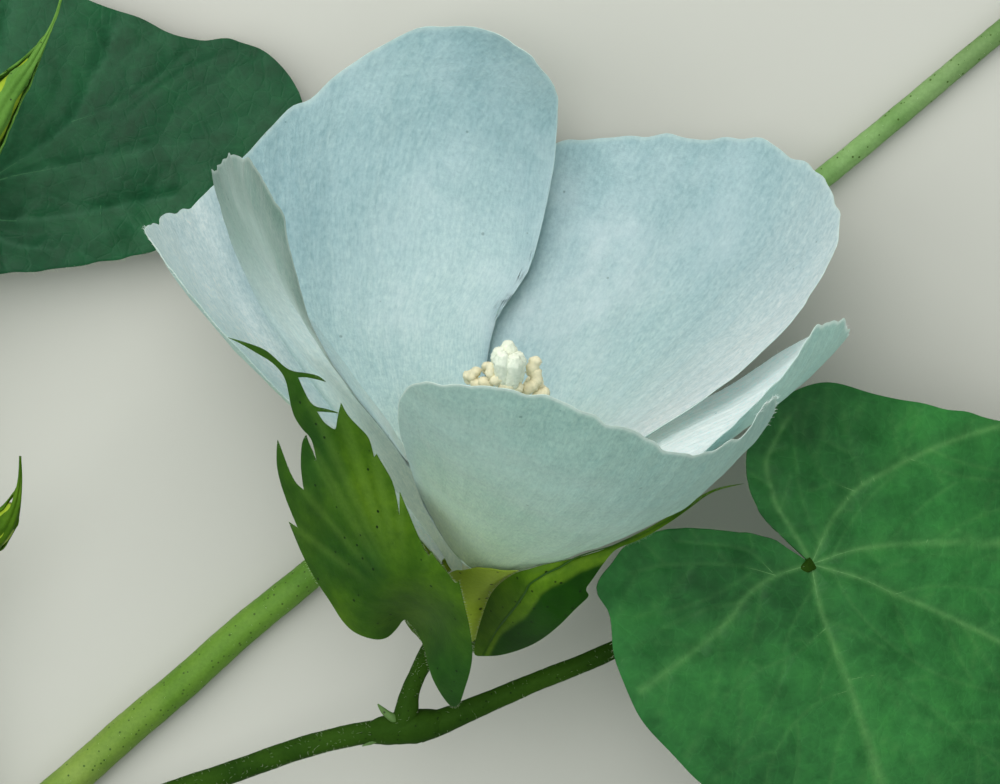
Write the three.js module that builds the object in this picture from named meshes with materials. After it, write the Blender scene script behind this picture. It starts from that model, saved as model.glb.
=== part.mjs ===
// Cut flowering branch of upland cotton, lying on its side.
// Millimetres, +Z up. The plant lies on the plane z = 0; +Y runs up the flower, +X to the large leaf.
import * as THREE from 'three';

// ---------------------------------------------------------------- driving dimensions
const SHIFT = [-1.795, 5.8, 12.6];                  // brings the origin to the middle of the underside of the box
const SCALE_D = 520, SCALE_F = 4750;      // layout: a point drawn at (u, v) sits at ((u-500)k, (392-v)k), k = (520-z)/4750
const PETAL_T = 0.6;                      // petal thickness
const GROUND = -12.6;                     // height of the ground in the layout
const LEAF_T = 0.6;                       // leaf blade thickness
const BRACT_T = 0.6;                      // bract thickness
const COROLLA_LEN = 52;                   // nominal petal length
const COROLLA_R0 = 2.6;                   // radius of the ring the petals rise from

// corolla: foot of the axis (u, v, z) and the axis direction (x, z)
const FOOT = [467.42, 574.53, 17.0];
const AXIS = [0.31, 0.5521];
// opening angle of the corolla, alpha = c0 + c1 t + c2 t^2; each c a series 1, cos, sin, cos2, sin2 round the axis
const OPENING = [
  [0.6448, -0.3269, -0.3512, 0.1714, 0.3176],
  [1.319, -0.1688, 0.5504, -0.4873, -0.5894],
  [-1.8177, 0.4975, -0.5722, 0.3527, 0.011],
];
// petals: azimuth, half width on each side (deg), length, rim powers, rim skew, offsets of the two margins and the middle, bulge, rim terms, width terms
const PETALS = {
  petal_front: [23.115, 56.966, 56.687, 48.473, 2.58, 4.275, -0.338, 0, 5.87, 0.067, -0.792, 0.218, 0.523, 0.117, -0.304],
  petal_right: [90.024, 39.301, 50.05, 50.908, 2.341, 3.589, -0.088, 0.01, 3.323, 3.193, -0.538, 0.632, -0.258, 0.447, 0.283],
  petal_back_right: [164.336, 55.437, 51.346, 57.418, 3.012, 1.6, 0.026, -0.015, 1.867, 6.634, -1.359, 0.646, 0.104, 0.097, 0.093],
  petal_back_left: [230.954, 41.301, 43.997, 47.312, 3.731, 3.408, -0.372, -1.566, 11.04, 0.05, 0.314, -0.083, 0.809, 0.258, 0.723],
  petal_left: [282.39, 44.191, 32.869, 57.772, 3.307, 3.313, 0.322, -2.713, -2.897, 4.404, -2.48, -0.343, 0.484, -0.134, 0.801],
};
// side of the shared corolla surface on which each margin lies (-1 inside its neighbour, +1 outside)
const SIDES = {
  petal_front: [1, 1], petal_right: [-1, 1], petal_back_right: [-1, 1], petal_back_left: [-1, 1], petal_left: [-1, -1],
};

// ---------------------------------------------------------------- helpers
const V = (x, y, z) => new THREE.Vector3(x, y, z);
const rad = (d) => d * Math.PI / 180;
const at = (u, v, z) => { const k = (SCALE_D - z) / SCALE_F; return V((u - 500) * k, (392 - v) * k, z); };

function solid(name, points, faces, colour, roughness = 0.6) {
  const g = new THREE.BufferGeometry();
  const pos = new Float32Array(points.length * 3);
  points.forEach((p, i) => { pos[3 * i] = p.x; pos[3 * i + 1] = p.y; pos[3 * i + 2] = p.z; });
  g.setAttribute('position', new THREE.BufferAttribute(pos, 3));
  // outward faces: the signed volume is positive
  let vol = 0;
  for (const [a, b, c] of faces) vol += points[a].dot(points[b].clone().cross(points[c]));
  g.setIndex((vol < 0 ? faces.map(([a, b, c]) => [a, c, b]) : faces).flat());
  g.computeVertexNormals();
  const m = new THREE.Mesh(g, new THREE.MeshStandardMaterial({ color: colour, roughness, metalness: 0 }));
  m.name = name;
  return m;
}

// a tapering limb: centre line through control points, one radius at each, flat cut ends
function limb(name, ctrl, radii, steps, sides, colour) {
  const curve = new THREE.CatmullRomCurve3(ctrl, false, 'centripetal');
  const pts = [], faces = [];
  let n = null;
  for (let i = 0; i <= steps; i++) {
    const t = i / steps, p = curve.getPoint(t), d = curve.getTangent(t);
    if (!n) n = Math.abs(d.z) < 0.9 ? V(0, 0, 1) : V(1, 0, 0);
    n = n.clone().addScaledVector(d, -n.dot(d)).normalize();
    const b = d.clone().cross(n);
    const f = t * (radii.length - 1), j = Math.min(Math.floor(f), radii.length - 2);
    const r = radii[j] + (radii[j + 1] - radii[j]) * (f - j);
    for (let k = 0; k < sides; k++) {
      const a = 2 * Math.PI * k / sides;
      pts.push(p.clone().addScaledVector(n, r * Math.cos(a)).addScaledVector(b, r * Math.sin(a)));
    }
  }
  for (let i = 0; i < steps; i++) for (let k = 0; k < sides; k++) {
    const a = i * sides + k, b = i * sides + (k + 1) % sides, c = a + sides, d = b + sides;
    faces.push([a, b, d], [a, d, c]);
  }
  const e = steps * sides;
  for (let k = 1; k < sides - 1; k++) { faces.push([0, k + 1, k]); faces.push([e, e + k, e + k + 1]); }
  return solid(name, pts, faces, colour);
}

// a thin blade from a grid of middle-surface points, thickened along its own normals
function sheet(name, rows, t, colour) {
  const m = rows.length, n = rows[0].length, pts = [], faces = [];
  const P = (i, j) => rows[Math.max(0, Math.min(m - 1, i))][Math.max(0, Math.min(n - 1, j))];
  for (const side of [0.5, -0.5]) for (let i = 0; i < m; i++) for (let j = 0; j < n; j++) {
    const du = P(i + 1, j).clone().sub(P(i - 1, j)), dv = P(i, j + 1).clone().sub(P(i, j - 1));
    pts.push(P(i, j).clone().addScaledVector(du.cross(dv).normalize(), side * t));
  }
  const A = (i, j) => i * n + j, B = (i, j) => m * n + i * n + j;
  for (let i = 0; i < m - 1; i++) for (let j = 0; j < n - 1; j++) {
    faces.push([A(i, j), A(i + 1, j), A(i + 1, j + 1)], [A(i, j), A(i + 1, j + 1), A(i, j + 1)]);
    faces.push([B(i, j), B(i + 1, j + 1), B(i + 1, j)], [B(i, j), B(i, j + 1), B(i + 1, j + 1)]);
  }
  const ring = [];
  for (let i = 0; i < m - 1; i++) ring.push([i, 0]);
  for (let j = 0; j < n - 1; j++) ring.push([m - 1, j]);
  for (let i = m - 1; i > 0; i--) ring.push([i, n - 1]);
  for (let j = n - 1; j > 0; j--) ring.push([0, j]);
  ring.forEach(([i, j], k) => {
    const [p, q] = ring[(k + 1) % ring.length];
    faces.push([A(i, j), B(i, j), B(p, q)], [A(i, j), B(p, q), A(p, q)]);
  });
  return solid(name, pts, faces, colour);
}

// a blade of any outline: the outline (in layout units) is filled, its triangles halved twice, and lifted on to a height function
function plate(name, outline, height, t, rounds, colour) {
  const flat = outline.map(([u, v]) => new THREE.Vector2(u, v));
  let tris = THREE.ShapeUtils.triangulateShape(flat, []);
  const uv = flat.map((p) => [p.x, p.y]);
  let edge = flat.map((_, i) => [i, (i + 1) % flat.length]);
  for (let r = 0; r < rounds; r++) {
    const mid = new Map();
    const half = (a, b) => {
      const key = a < b ? `${a},${b}` : `${b},${a}`;
      if (!mid.has(key)) { mid.set(key, uv.length); uv.push([(uv[a][0] + uv[b][0]) / 2, (uv[a][1] + uv[b][1]) / 2]); }
      return mid.get(key);
    };
    tris = tris.flatMap(([a, b, c]) => { const x = half(a, b), y = half(b, c), z = half(c, a); return [[a, x, z], [x, b, y], [z, y, c], [x, y, z]]; });
    edge = edge.flatMap(([a, b]) => { const x = half(a, b); return [[a, x], [x, b]]; });
  }
  const n = uv.length, pts = [], faces = [];
  const lift = (u, v) => at(u, v, height(u, v));
  for (const side of [0.5, -0.5]) for (const [u, v] of uv) {
    const du = lift(u + 1, v).sub(lift(u - 1, v)), dv = lift(u, v - 1).sub(lift(u, v + 1));
    pts.push(lift(u, v).addScaledVector(du.cross(dv).normalize(), side * t));
  }
  for (const [a, b, c] of tris) faces.push([a, b, c], [n + a, n + c, n + b]);
  // the outline may run either way; match its walls to the filled triangles
  const used = new Set(tris.flatMap(([a, b, c]) => [`${a},${b}`, `${b},${c}`, `${c},${a}`]));
  for (const [p, q] of edge) {
    const [a, b] = used.has(`${p},${q}`) ? [p, q] : [q, p];
    faces.push([a, n + a, n + b], [a, n + b, b]);
  }
  return solid(name, pts, faces, colour);
}

// ---------------------------------------------------------------- corolla
const foot = at(FOOT[0], FOOT[1], FOOT[2]);
const axis = V(AXIS[0], Math.sqrt(1 - AXIS[0] ** 2 - AXIS[1] ** 2), AXIS[1]);
const eRight = axis.clone().cross(V(0, 0, 1)).normalize();
const eView = eRight.clone().cross(axis).normalize();
if (eView.z < 0) eView.negate();
if (eRight.x < 0) eRight.negate();
const GX = [-0.9324695142, -0.6612093865, -0.2386191861, 0.2386191861, 0.6612093865, 0.9324695142];
const GW = [0.1713244924, 0.3607615730, 0.4679139346, 0.4679139346, 0.3607615730, 0.1713244924];

function corolla(phi, ell) {
  const B = [1, Math.cos(phi), Math.sin(phi), Math.cos(2 * phi), Math.sin(2 * phi)];
  const c = OPENING.map((row) => row.reduce((s, v, i) => s + v * B[i], 0));
  const alpha = (t) => c[0] + c[1] * t + c[2] * t * t;
  let rho = 0, h = 0;
  GX.forEach((x, i) => {
    const a = alpha(ell * (x + 1) / 2 / COROLLA_LEN);
    rho += Math.sin(a) * GW[i] * ell / 2; h += Math.cos(a) * GW[i] * ell / 2;
  });
  return [rho, h, alpha(ell / COROLLA_LEN)];
}
const flowerPoint = (rho, h, phi) => foot.clone().addScaledVector(axis, h)
  .addScaledVector(eView, rho * Math.cos(phi)).addScaledVector(eRight, rho * Math.sin(phi));

function petalPoint(name, s, t) {
  const p = PETALS[name], [lo, hi] = SIDES[name];
  const rim = p[3] * Math.sqrt(Math.max(0, 1 - Math.abs(s) ** (s < 0 ? p[4] : p[5]))) * (1 + p[6] * s + p[11] * s ** 3 + p[12] * s * s);
  const ell = t * rim, tt = ell / COROLLA_LEN;
  const w = s < 0 ? p[1] * (1 + p[13] * (tt - 0.7)) : p[2] * (1 + p[14] * (tt - 0.7));
  const phi = rad(p[0]) + rad(w) * s;
  const [rho, h, al] = corolla(phi, ell);
  const g = 0.8 + 2.0 * tt * tt;
  let d = g * ((hi - lo) / 2 * s + (hi + lo) / 2);
  d += tt * tt * (p[7] * Math.max(0, -s) ** 2 + p[9] * Math.max(0, s) ** 2);
  d += (1 - s * s) ** 2 * (p[8] * tt * tt + p[10] * tt * (1 - tt) * 4);
  return flowerPoint(COROLLA_R0 + rho + d * Math.cos(al), h - d * Math.sin(al), phi);
}

function petal(name, colour) {
  const rows = [], NS = 17, NT = 9;
  for (let i = 0; i < NS; i++) {
    const s = 0.985 * Math.sin(Math.PI / 2 * (2 * i / (NS - 1) - 1));
    const row = [];
    for (let j = 0; j < NT; j++) row.push(petalPoint(name, s, 0.02 + 0.98 * j / (NT - 1)));
    rows.push(row);
  }
  return sheet(name, rows, PETAL_T, colour);
}


// ---------------------------------------------------------------- stems: control points (u, v, height over the ground) and radii in mm
const STEMS = {
  main_stem: { r: [2.0, 1.9, 1.6, 1.4, 1.22, 1.1], steps: 14, path: [[-75, 905, 2.0], [66, 784, 1.95], [311, 574, 1.65], [566, 376, 1.45], [822, 178, 1.25], [1062, -20, 1.1]] },
  fruiting_branch: { r: [1.25, 1.22, 1.2, 1.2, 1.5], steps: 10, path: [[2, 849, 5.6], [60, 830, 7.0], [196, 784, 12.1], [300, 748.5, 17.2], [398, 727, 20.2]] },
  pedicel: { r: [1.25, 0.95, 0.95, 1.0, 1.3], steps: 7, path: [[407, 709, 21.4], [412, 690, 21.4], [419, 672, 22.0], [428, 655, 23.0], [438, 642, 24.0]] },
  petiole_right: { r: [1.35, 1.05, 0.95, 0.9, 0.85], steps: 11, path: [[424, 728, 20.2], [492, 700, 21.4], [600, 655, 24.2], [700, 612, 26.2], [804, 567, 26.9]] },
  branch_left: { r: [1.2, 1.05, 1.0, 1.1], steps: 9, path: [[-32, 836, 3.3], [-54, 700, 5.6], [-70, 520, 7.0], [-76, 345, 7.4]] },
  petiole_left: { r: [0.95, 0.8, 0.7], steps: 5, path: [[-73, 332, 7.2], [-64, 275, 5.3], [-50, 214, 5.5]] },
  bud_stalk_left: { r: [0.8, 0.75, 0.9], steps: 4, path: [[-61, 636, 8.9], [-64, 618, 12.0], [-60, 600, 15.0]] },
  bud_stalk_upper: { r: [0.8, 0.75, 0.9], steps: 5, path: [[-84, 328, 10.6], [-84, 290, 12.2], [-68, 243, 13.6]] },
  bud_left: { r: [0.8, 2.2, 2.6, 1.7, 0.9, 0.35, 0.1], steps: 12, path: [[-58, 592, 16.4], [-50, 566, 18.5], [-28, 545, 20.0], [0, 527, 21.2], [14, 502, 22.0], [19, 480, 22.4], [20, 456, 22.6]] },
  bud_upper: { r: [0.8, 2.6, 2.4, 1.35, 1.25, 0.6, 0.1], steps: 12, path: [[-62, 232, 14.2], [-45, 185, 15.4], [-20, 140, 16.4], [8, 98, 17.0], [32, 58, 17.4], [52, 22, 17.6], [62, -6, 17.6]] },
};
const stem = (name, colour) => {
  const q = STEMS[name];
  return limb(name, q.path.map(([u, v, h]) => at(u, v, GROUND + h)), q.r, q.steps, 8, colour);
};

// ---------------------------------------------------------------- leaves: reach of the margin at each angle from the foot of the blade
const LEAVES = {
  leaf_right: { foot: [811, 564], reach: [[136.5, 62], [132, 86], [126, 109], [118, 133], [108, 150], [97, 174], [86, 181], [69, 182], [54, 197], [37, 238], [22, 312], [10, 345], [-4, 343], [-17, 395], [-28, 455], [-40, 405], [-54, 348], [-68, 347], [-79, 343], [-92, 300], [-105, 266], [-122, 239], [-140, 228], [-155, 217], [-166, 207], [-173, 217], [-180, 200], [-188, 178], [-195, 138], [-202, 88], [-214, 42]] },
  leaf_left: { foot: [-45, 205], reach: [[168, 118], [150, 172], [130, 205], [110, 228], [90, 240], [72, 243], [56.6, 245], [44.5, 264], [36, 284], [30.5, 325], [25, 349], [16.4, 364], [7, 345], [-2, 290], [-8, 238], [-14.3, 196], [-22, 154], [-30, 126], [-42, 100], [-57, 82], [-80, 76], [-100, 84], [-122, 96], [-142, 84]] },
};
// height of each blade over the ground from the distance to its foot in mm (dx to the right, dy up)
const LEAF_HEIGHT = {
  leaf_right: (dx, dy) => 28.6 - 0.25 * dx - (dx > 0 ? 0.0086 * dx * dx : 0) + 0.03 * dy - 0.0022 * dy * dy,
  leaf_left: (dx, dy) => 7.4 - 0.12 * dx - 0.03 * dy - 0.0012 * dy * dy + 0.0009 * dx * dx,
};
const LEAF_K = 0.106;
function leaf(name, colour) {
  const { foot: [fu, fv], reach } = LEAVES[name];
  const curve = new THREE.CatmullRomCurve3(reach.map(([a, r]) => V(a, r, 0)), false, 'centripetal');
  const N = 44, M = 5, pts = [], faces = [];
  const P = (a, r) => {
    const u = fu + r * Math.cos(rad(a)), v = fv - r * Math.sin(rad(a));
    return at(u, v, GROUND + LEAF_HEIGHT[name]((u - fu) * LEAF_K, (fv - v) * LEAF_K));
  };
  const edge = []; for (let i = 0; i <= N; i++) edge.push(curve.getPointAt(i / N));
  for (const side of [LEAF_T / 2, -LEAF_T / 2]) {
    pts.push(P(0, 0).add(V(0, 0, side)));
    for (let i = 0; i <= N; i++) for (let j = 1; j <= M; j++) pts.push(P(edge[i].x, edge[i].y * (j / M)).add(V(0, 0, side)));
  }
  const half = 1 + (N + 1) * M, A = (i, j) => 1 + i * M + j - 1;
  for (let i = 0; i < N; i++) {
    faces.push([0, A(i + 1, 1), A(i, 1)], [half, half + A(i, 1), half + A(i + 1, 1)]);
    for (let j = 1; j < M; j++) {
      const a = A(i, j), b = A(i + 1, j), c = A(i + 1, j + 1), d = A(i, j + 1);
      faces.push([a, b, c], [a, c, d], [half + a, half + c, half + b], [half + a, half + d, half + c]);
    }
  }
  const ring = [0]; for (let j = 1; j < M; j++) ring.push(A(0, j));
  for (let i = 0; i <= N; i++) ring.push(A(i, M));
  for (let j = M - 1; j >= 1; j--) ring.push(A(N, j));
  ring.forEach((a, q) => { const b = ring[(q + 1) % ring.length]; faces.push([a, half + b, half + a], [a, b, half + b]); });
  return solid(name, pts, faces, colour);
}

// ---------------------------------------------------------------- calyx cup and staminal column, turned about the flower's axis
function turned(name, profile, sides, colour, bend = () => V(0, 0, 0)) {
  const pts = [], faces = [], start = [], pole = profile.map(([r]) => r < 1e-6);
  profile.forEach(([r, h], i) => {
    start.push(pts.length);
    if (pole[i]) pts.push(flowerPoint(0, h, 0).add(bend(h)));
    else for (let k = 0; k < sides; k++) pts.push(flowerPoint(r, h, 2 * Math.PI * k / sides).add(bend(h)));
  });
  const id = (i, k) => pole[i] ? start[i] : start[i] + (k % sides);
  for (let i = 0; i < profile.length - 1; i++) for (let k = 0; k < sides; k++) {
    const a = id(i, k), b = id(i, k + 1), c = id(i + 1, k + 1), d = id(i + 1, k);
    if (a === b) faces.push([a, c, d]); else if (c === d) faces.push([a, b, c]); else faces.push([a, b, c], [a, c, d]);
  }
  return solid(name, pts, faces, colour);
}
// rings of the cup: either a plain radius and height, or (third value 1) a distance along the petals and a distance outside them
const CALYX = [[0, -9.0, 0], [1.6, -9.0, 0], [3.0, -7.9, 0], [3.9, -5.6, 0], [4.1, -3.6, 0], [0, 2.3, 1], [1.5, 2.1, 1], [3.0, 1.95, 1],
  [3.0, 1.5, 1], [1.5, 1.5, 1], [0, 1.5, 1], [0, -2.4, 0]];
function cup(name, rings, sides, colour) {
  const pts = [], faces = [], start = [], pole = (i) => i === 0 || i === rings.length - 1;
  rings.forEach(([p, q, follows], i) => {
    start.push(pts.length);
    for (let k = 0; k < (pole(i) ? 1 : sides); k++) {
      const phi = 2 * Math.PI * k / sides;
      if (follows) {
        const [rho, h, al] = corolla(phi, p > 2 ? p + 0.35 * Math.cos(5 * phi) : p);
        pts.push(flowerPoint(COROLLA_R0 + rho + q * Math.cos(al), h - q * Math.sin(al), phi));
      } else pts.push(flowerPoint(p, q, phi));
    }
  });
  const id = (i, k) => pole(i) ? start[i] : start[i] + (k % sides);
  for (let i = 0; i < rings.length - 1; i++) for (let k = 0; k < sides; k++) {
    const a = id(i, k), b = id(i, k + 1), c = id(i + 1, k + 1), d = id(i + 1, k);
    if (a === b) faces.push([a, c, d]); else if (c === d) faces.push([a, b, c]); else faces.push([a, b, c], [a, c, d]);
  }
  return solid(name, pts, faces, colour);
}
const COLUMN = [[0, -1.0], [1.25, -1.0], [1.1, 3], [1.2, 6], [2.6, 9], [3.4, 13], [3.5, 19], [3.0, 23.5], [1.5, 25.6], [1.0, 26.4], [1.9, 28.2], [1.8, 30.2], [0, 31.8]];
// the column leans back to the left towards its tip
const lean = (h) => V(-0.0056 * Math.max(0, h) ** 2, 0, 0);

// ---------------------------------------------------------------- bracts: toothed outlines (u, v) lifted on to a curved surface (height in the layout)
const BRACTS = {
  bract_left: {
    outline: [[404, 618], [387, 638.5], [374.6, 640], [355, 633.5], [332, 604], [301, 552], [289, 522], [298, 528], [285, 497], [276.6, 451], [277.7, 440],
      [288.4, 469], [304, 490], [301, 456], [306, 434.6], [317, 462], [310, 436], [296, 420], [288.4, 391], [281, 371], [256, 352.5], [228, 337.5],
      [266, 350], [286, 368.5], [305, 372.8], [326, 382], [298, 377.5], [309, 401], [327, 408.8], [340, 413.4], [317, 411.5], [336, 430], [341, 403],
      [367.6, 435.7], [393, 482], [407, 509], [424, 549], [436, 559], [455, 584], [470, 628.5], [473, 653], [464, 691], [452, 708], [432, 678], [424, 646]],
    height: (u, v) => {
      const w = (-0.85 * (u - 400) + 0.53 * (v - 500)) * 0.105;
      const d2 = ((u - 412) ** 2 + (v - 630) ** 2) * 0.105 ** 2;
      const soft = (x, k) => k * Math.log1p(Math.exp(Math.min(30, Math.max(-30, x / k))));
      const q = (-(u - 337) * 172 + (v - 449) * 70) / 185.7 * 0.105;       // mm to the left of the fold
      return 34.6 - 0.72 * w - 0.016 * w * w - 9 * Math.exp(-d2 / 12) - 0.055 * Math.max(0, v - 600)
        - 0.34 * soft(q, 0.5) + 0.10 * Math.min(-q, 6) - 0.12 * soft((v - 640) * 0.105, 0.8);
    },
  },
  bract_right: {
    outline: [[484, 655], [494, 637], [511, 616], [528, 588], [551, 568], [574, 556], [611, 545], [640, 529], [668, 512], [692, 499], [706, 489], [744, 483.6],
      [708, 492.6], [694, 504], [668, 522], [640, 536], [615, 547], [603.5, 564], [585, 590], [588.6, 594], [568.7, 623.5], [549, 638.5], [524, 650], [499, 655.5]],
    height: (u, v) => {
      const f = (-(u - 490) * 110 - (v - 650) * 125) / 166.5 * 0.105;
      return 11.6 + 0.105 * (0.53 * (u - 478) - 0.45 * (v - 645)) - 0.40 * Math.min(9, Math.max(0, -f));
    },
  },
  bract_back: {
    outline: [[452, 640], [424, 632], [404, 610], [386, 572], [376, 530], [364, 470], [346, 408], [376, 450], [386, 410], [380, 352], [402, 404], [414, 384], [422, 345], [434, 384], [446, 402], [462, 356], [466, 404], [478, 440], [500, 392], [494, 456], [494, 520], [486, 572], [474, 612]],
    height: (u, v) => {
      const y = (640 - v) * 0.105;
      return 6.6 + 0.19 * y - 0.0245 * y * y + 0.0009 * (u - 440) ** 2 * 0.105;
    },
  },
};

const WHITE = 0xdfeaea, GREEN = 0x3f7a35, DARK = 0x2f6b3f, STEM = 0x7c9a4a, BRACT = 0x55802c, CREAM = 0xe8e2c0;
const part = new THREE.Group();
for (const name of Object.keys(STEMS)) part.add(stem(name, name.startsWith('bud_l') || name.startsWith('bud_u') ? BRACT : STEM));
part.add(leaf('leaf_right', GREEN));
part.add(leaf('leaf_left', DARK));
part.add(cup('calyx', CALYX, 24, STEM));
part.add(turned('staminal_column', COLUMN, 12, CREAM, lean));
for (const [name, b] of Object.entries(BRACTS)) part.add(plate(name, b.outline, b.height, BRACT_T, 1, BRACT));
for (const name of Object.keys(PETALS)) part.add(petal(name, WHITE));

part.position.set(SHIFT[0], SHIFT[1], SHIFT[2]);
export default part;
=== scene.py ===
import math
import bpy
import numpy as np
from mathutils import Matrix, Vector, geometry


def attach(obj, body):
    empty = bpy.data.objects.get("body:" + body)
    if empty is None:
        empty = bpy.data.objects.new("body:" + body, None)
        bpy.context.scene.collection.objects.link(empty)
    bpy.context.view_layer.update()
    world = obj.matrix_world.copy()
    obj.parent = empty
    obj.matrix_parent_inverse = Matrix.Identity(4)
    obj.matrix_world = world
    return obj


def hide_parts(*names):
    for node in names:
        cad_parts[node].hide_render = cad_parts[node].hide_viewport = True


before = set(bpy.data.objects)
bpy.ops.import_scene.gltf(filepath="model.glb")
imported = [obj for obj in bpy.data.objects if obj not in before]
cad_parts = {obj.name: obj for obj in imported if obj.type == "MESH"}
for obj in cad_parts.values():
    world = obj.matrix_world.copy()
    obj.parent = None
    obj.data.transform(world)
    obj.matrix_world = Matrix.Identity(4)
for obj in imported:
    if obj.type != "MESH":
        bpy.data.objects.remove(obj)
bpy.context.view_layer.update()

# ------------------------------------------------------------------ layout
# The plant is laid out as it is in the part: a point drawn at (u, v) at height z (mm)
# sits at ((u-500)k, (392-v)k, z), k = (520-z)/4750; SHIFT brings the origin under the middle of the box.
SHIFT = np.array([-1.795, 5.8, 12.6])
D0, F0 = 520.0, 4750.0
GROUND = -12.6


def at(u, v, z):
    u, v, z = np.broadcast_arrays(np.asarray(u, float), np.asarray(v, float), np.asarray(z, float))
    k = (D0 - z) / F0
    return np.stack([(u - 500) * k, (392 - v) * k, z], -1)


def row(p):
    return (np.asarray(p, float) + SHIFT) / 1000.0


def unit(a):
    return a / np.maximum(np.linalg.norm(a, axis=-1, keepdims=True), 1e-12)


def waves(seed, n, lo, hi, dims=3):
    """a smooth seeded field made of n sine waves with wavelengths lo..hi (mm)"""
    r = np.random.RandomState(seed)
    d = unit(r.normal(size=(n, dims)))
    k = 2 * np.pi / r.uniform(lo, hi, n)
    ph = r.uniform(0, 6.283, n)
    return lambda p: np.sin(np.tensordot(np.asarray(p), (d * k[:, None]).T, 1) + ph).sum(-1) / math.sqrt(n)


# ------------------------------------------------------------------ materials
def mat(name, rough=0.5, **sockets):
    m = bpy.data.materials.new(name)
    m.use_nodes = True
    t = m.node_tree
    b = t.nodes["Principled BSDF"]
    b.inputs["Roughness"].default_value = rough
    for k, v in sockets.items():
        b.inputs[k.replace("_", " ")].default_value = v
    return m, t, b


def N(t, kind, **kw):
    n = t.nodes.new(kind)
    for k, v in kw.items():
        setattr(n, k, v)
    return n


def ramp(t, fac, stops, interp="LINEAR"):
    r = N(t, "ShaderNodeValToRGB")
    r.color_ramp.interpolation = interp
    e = r.color_ramp.elements
    while len(e) < len(stops):
        e.new(0.5)
    for el, (p, c) in zip(e, stops):
        el.position = p
        el.color = (c[0], c[1], c[2], 1) if len(c) == 3 else c
    t.links.new(fac, r.inputs["Fac"])
    return r


def mix(t, kind, fac, a, b):
    n = N(t, "ShaderNodeMix", data_type="RGBA", blend_type=kind)
    for sock, val in ((n.inputs[0], fac), (n.inputs[6], a), (n.inputs[7], b)):
        if hasattr(val, "is_linked") or isinstance(val, bpy.types.NodeSocket):
            t.links.new(val, sock)
        elif isinstance(val, (int, float)):
            sock.default_value = val
        else:
            sock.default_value = (val[0], val[1], val[2], 1)
    return n.outputs[2]


def noise(t, vec, scale, detail=3.0, rough=0.5):
    n = N(t, "ShaderNodeTexNoise")
    n.inputs["Scale"].default_value = scale
    n.inputs["Detail"].default_value = detail
    n.inputs["Roughness"].default_value = rough
    if vec is not None:
        t.links.new(vec, n.inputs["Vector"])
    return n.outputs["Fac"]


def coords(t, kind="Object", scale=(1, 1, 1)):
    c = N(t, "ShaderNodeTexCoord")
    m = N(t, "ShaderNodeMapping")
    m.inputs["Scale"].default_value = scale
    t.links.new(c.outputs[kind], m.inputs["Vector"])
    return m.outputs["Vector"]


def dots(t, vec, scale, size, rand=1.0):
    """1 inside small round glands, 0 between them"""
    v = N(t, "ShaderNodeTexVoronoi", feature="F1")
    v.inputs["Scale"].default_value = scale
    v.inputs["Randomness"].default_value = rand
    t.links.new(vec, v.inputs["Vector"])
    r = ramp(t, v.outputs["Distance"], [(0.0, (1, 1, 1)), (size, (1, 1, 1)), (size * 1.35, (0, 0, 0))])
    return r.outputs["Color"]


def bump(t, b, height, strength, distance):
    n = N(t, "ShaderNodeBump")
    n.inputs["Strength"].default_value = strength
    n.inputs["Distance"].default_value = distance
    t.links.new(height, n.inputs["Height"])
    t.links.new(n.outputs["Normal"], b.inputs["Normal"])


def translucent(t, b, colour, share):
    tr = N(t, "ShaderNodeBsdfTranslucent")
    if isinstance(colour, bpy.types.NodeSocket):
        t.links.new(colour, tr.inputs["Color"])
    else:
        tr.inputs["Color"].default_value = (*colour, 1)
    m = N(t, "ShaderNodeMixShader")
    m.inputs["Fac"].default_value = share
    t.links.new(b.outputs[0], m.inputs[1])
    t.links.new(tr.outputs[0], m.inputs[2])
    t.links.new(m.outputs[0], t.nodes["Material Output"].inputs["Surface"])


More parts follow.
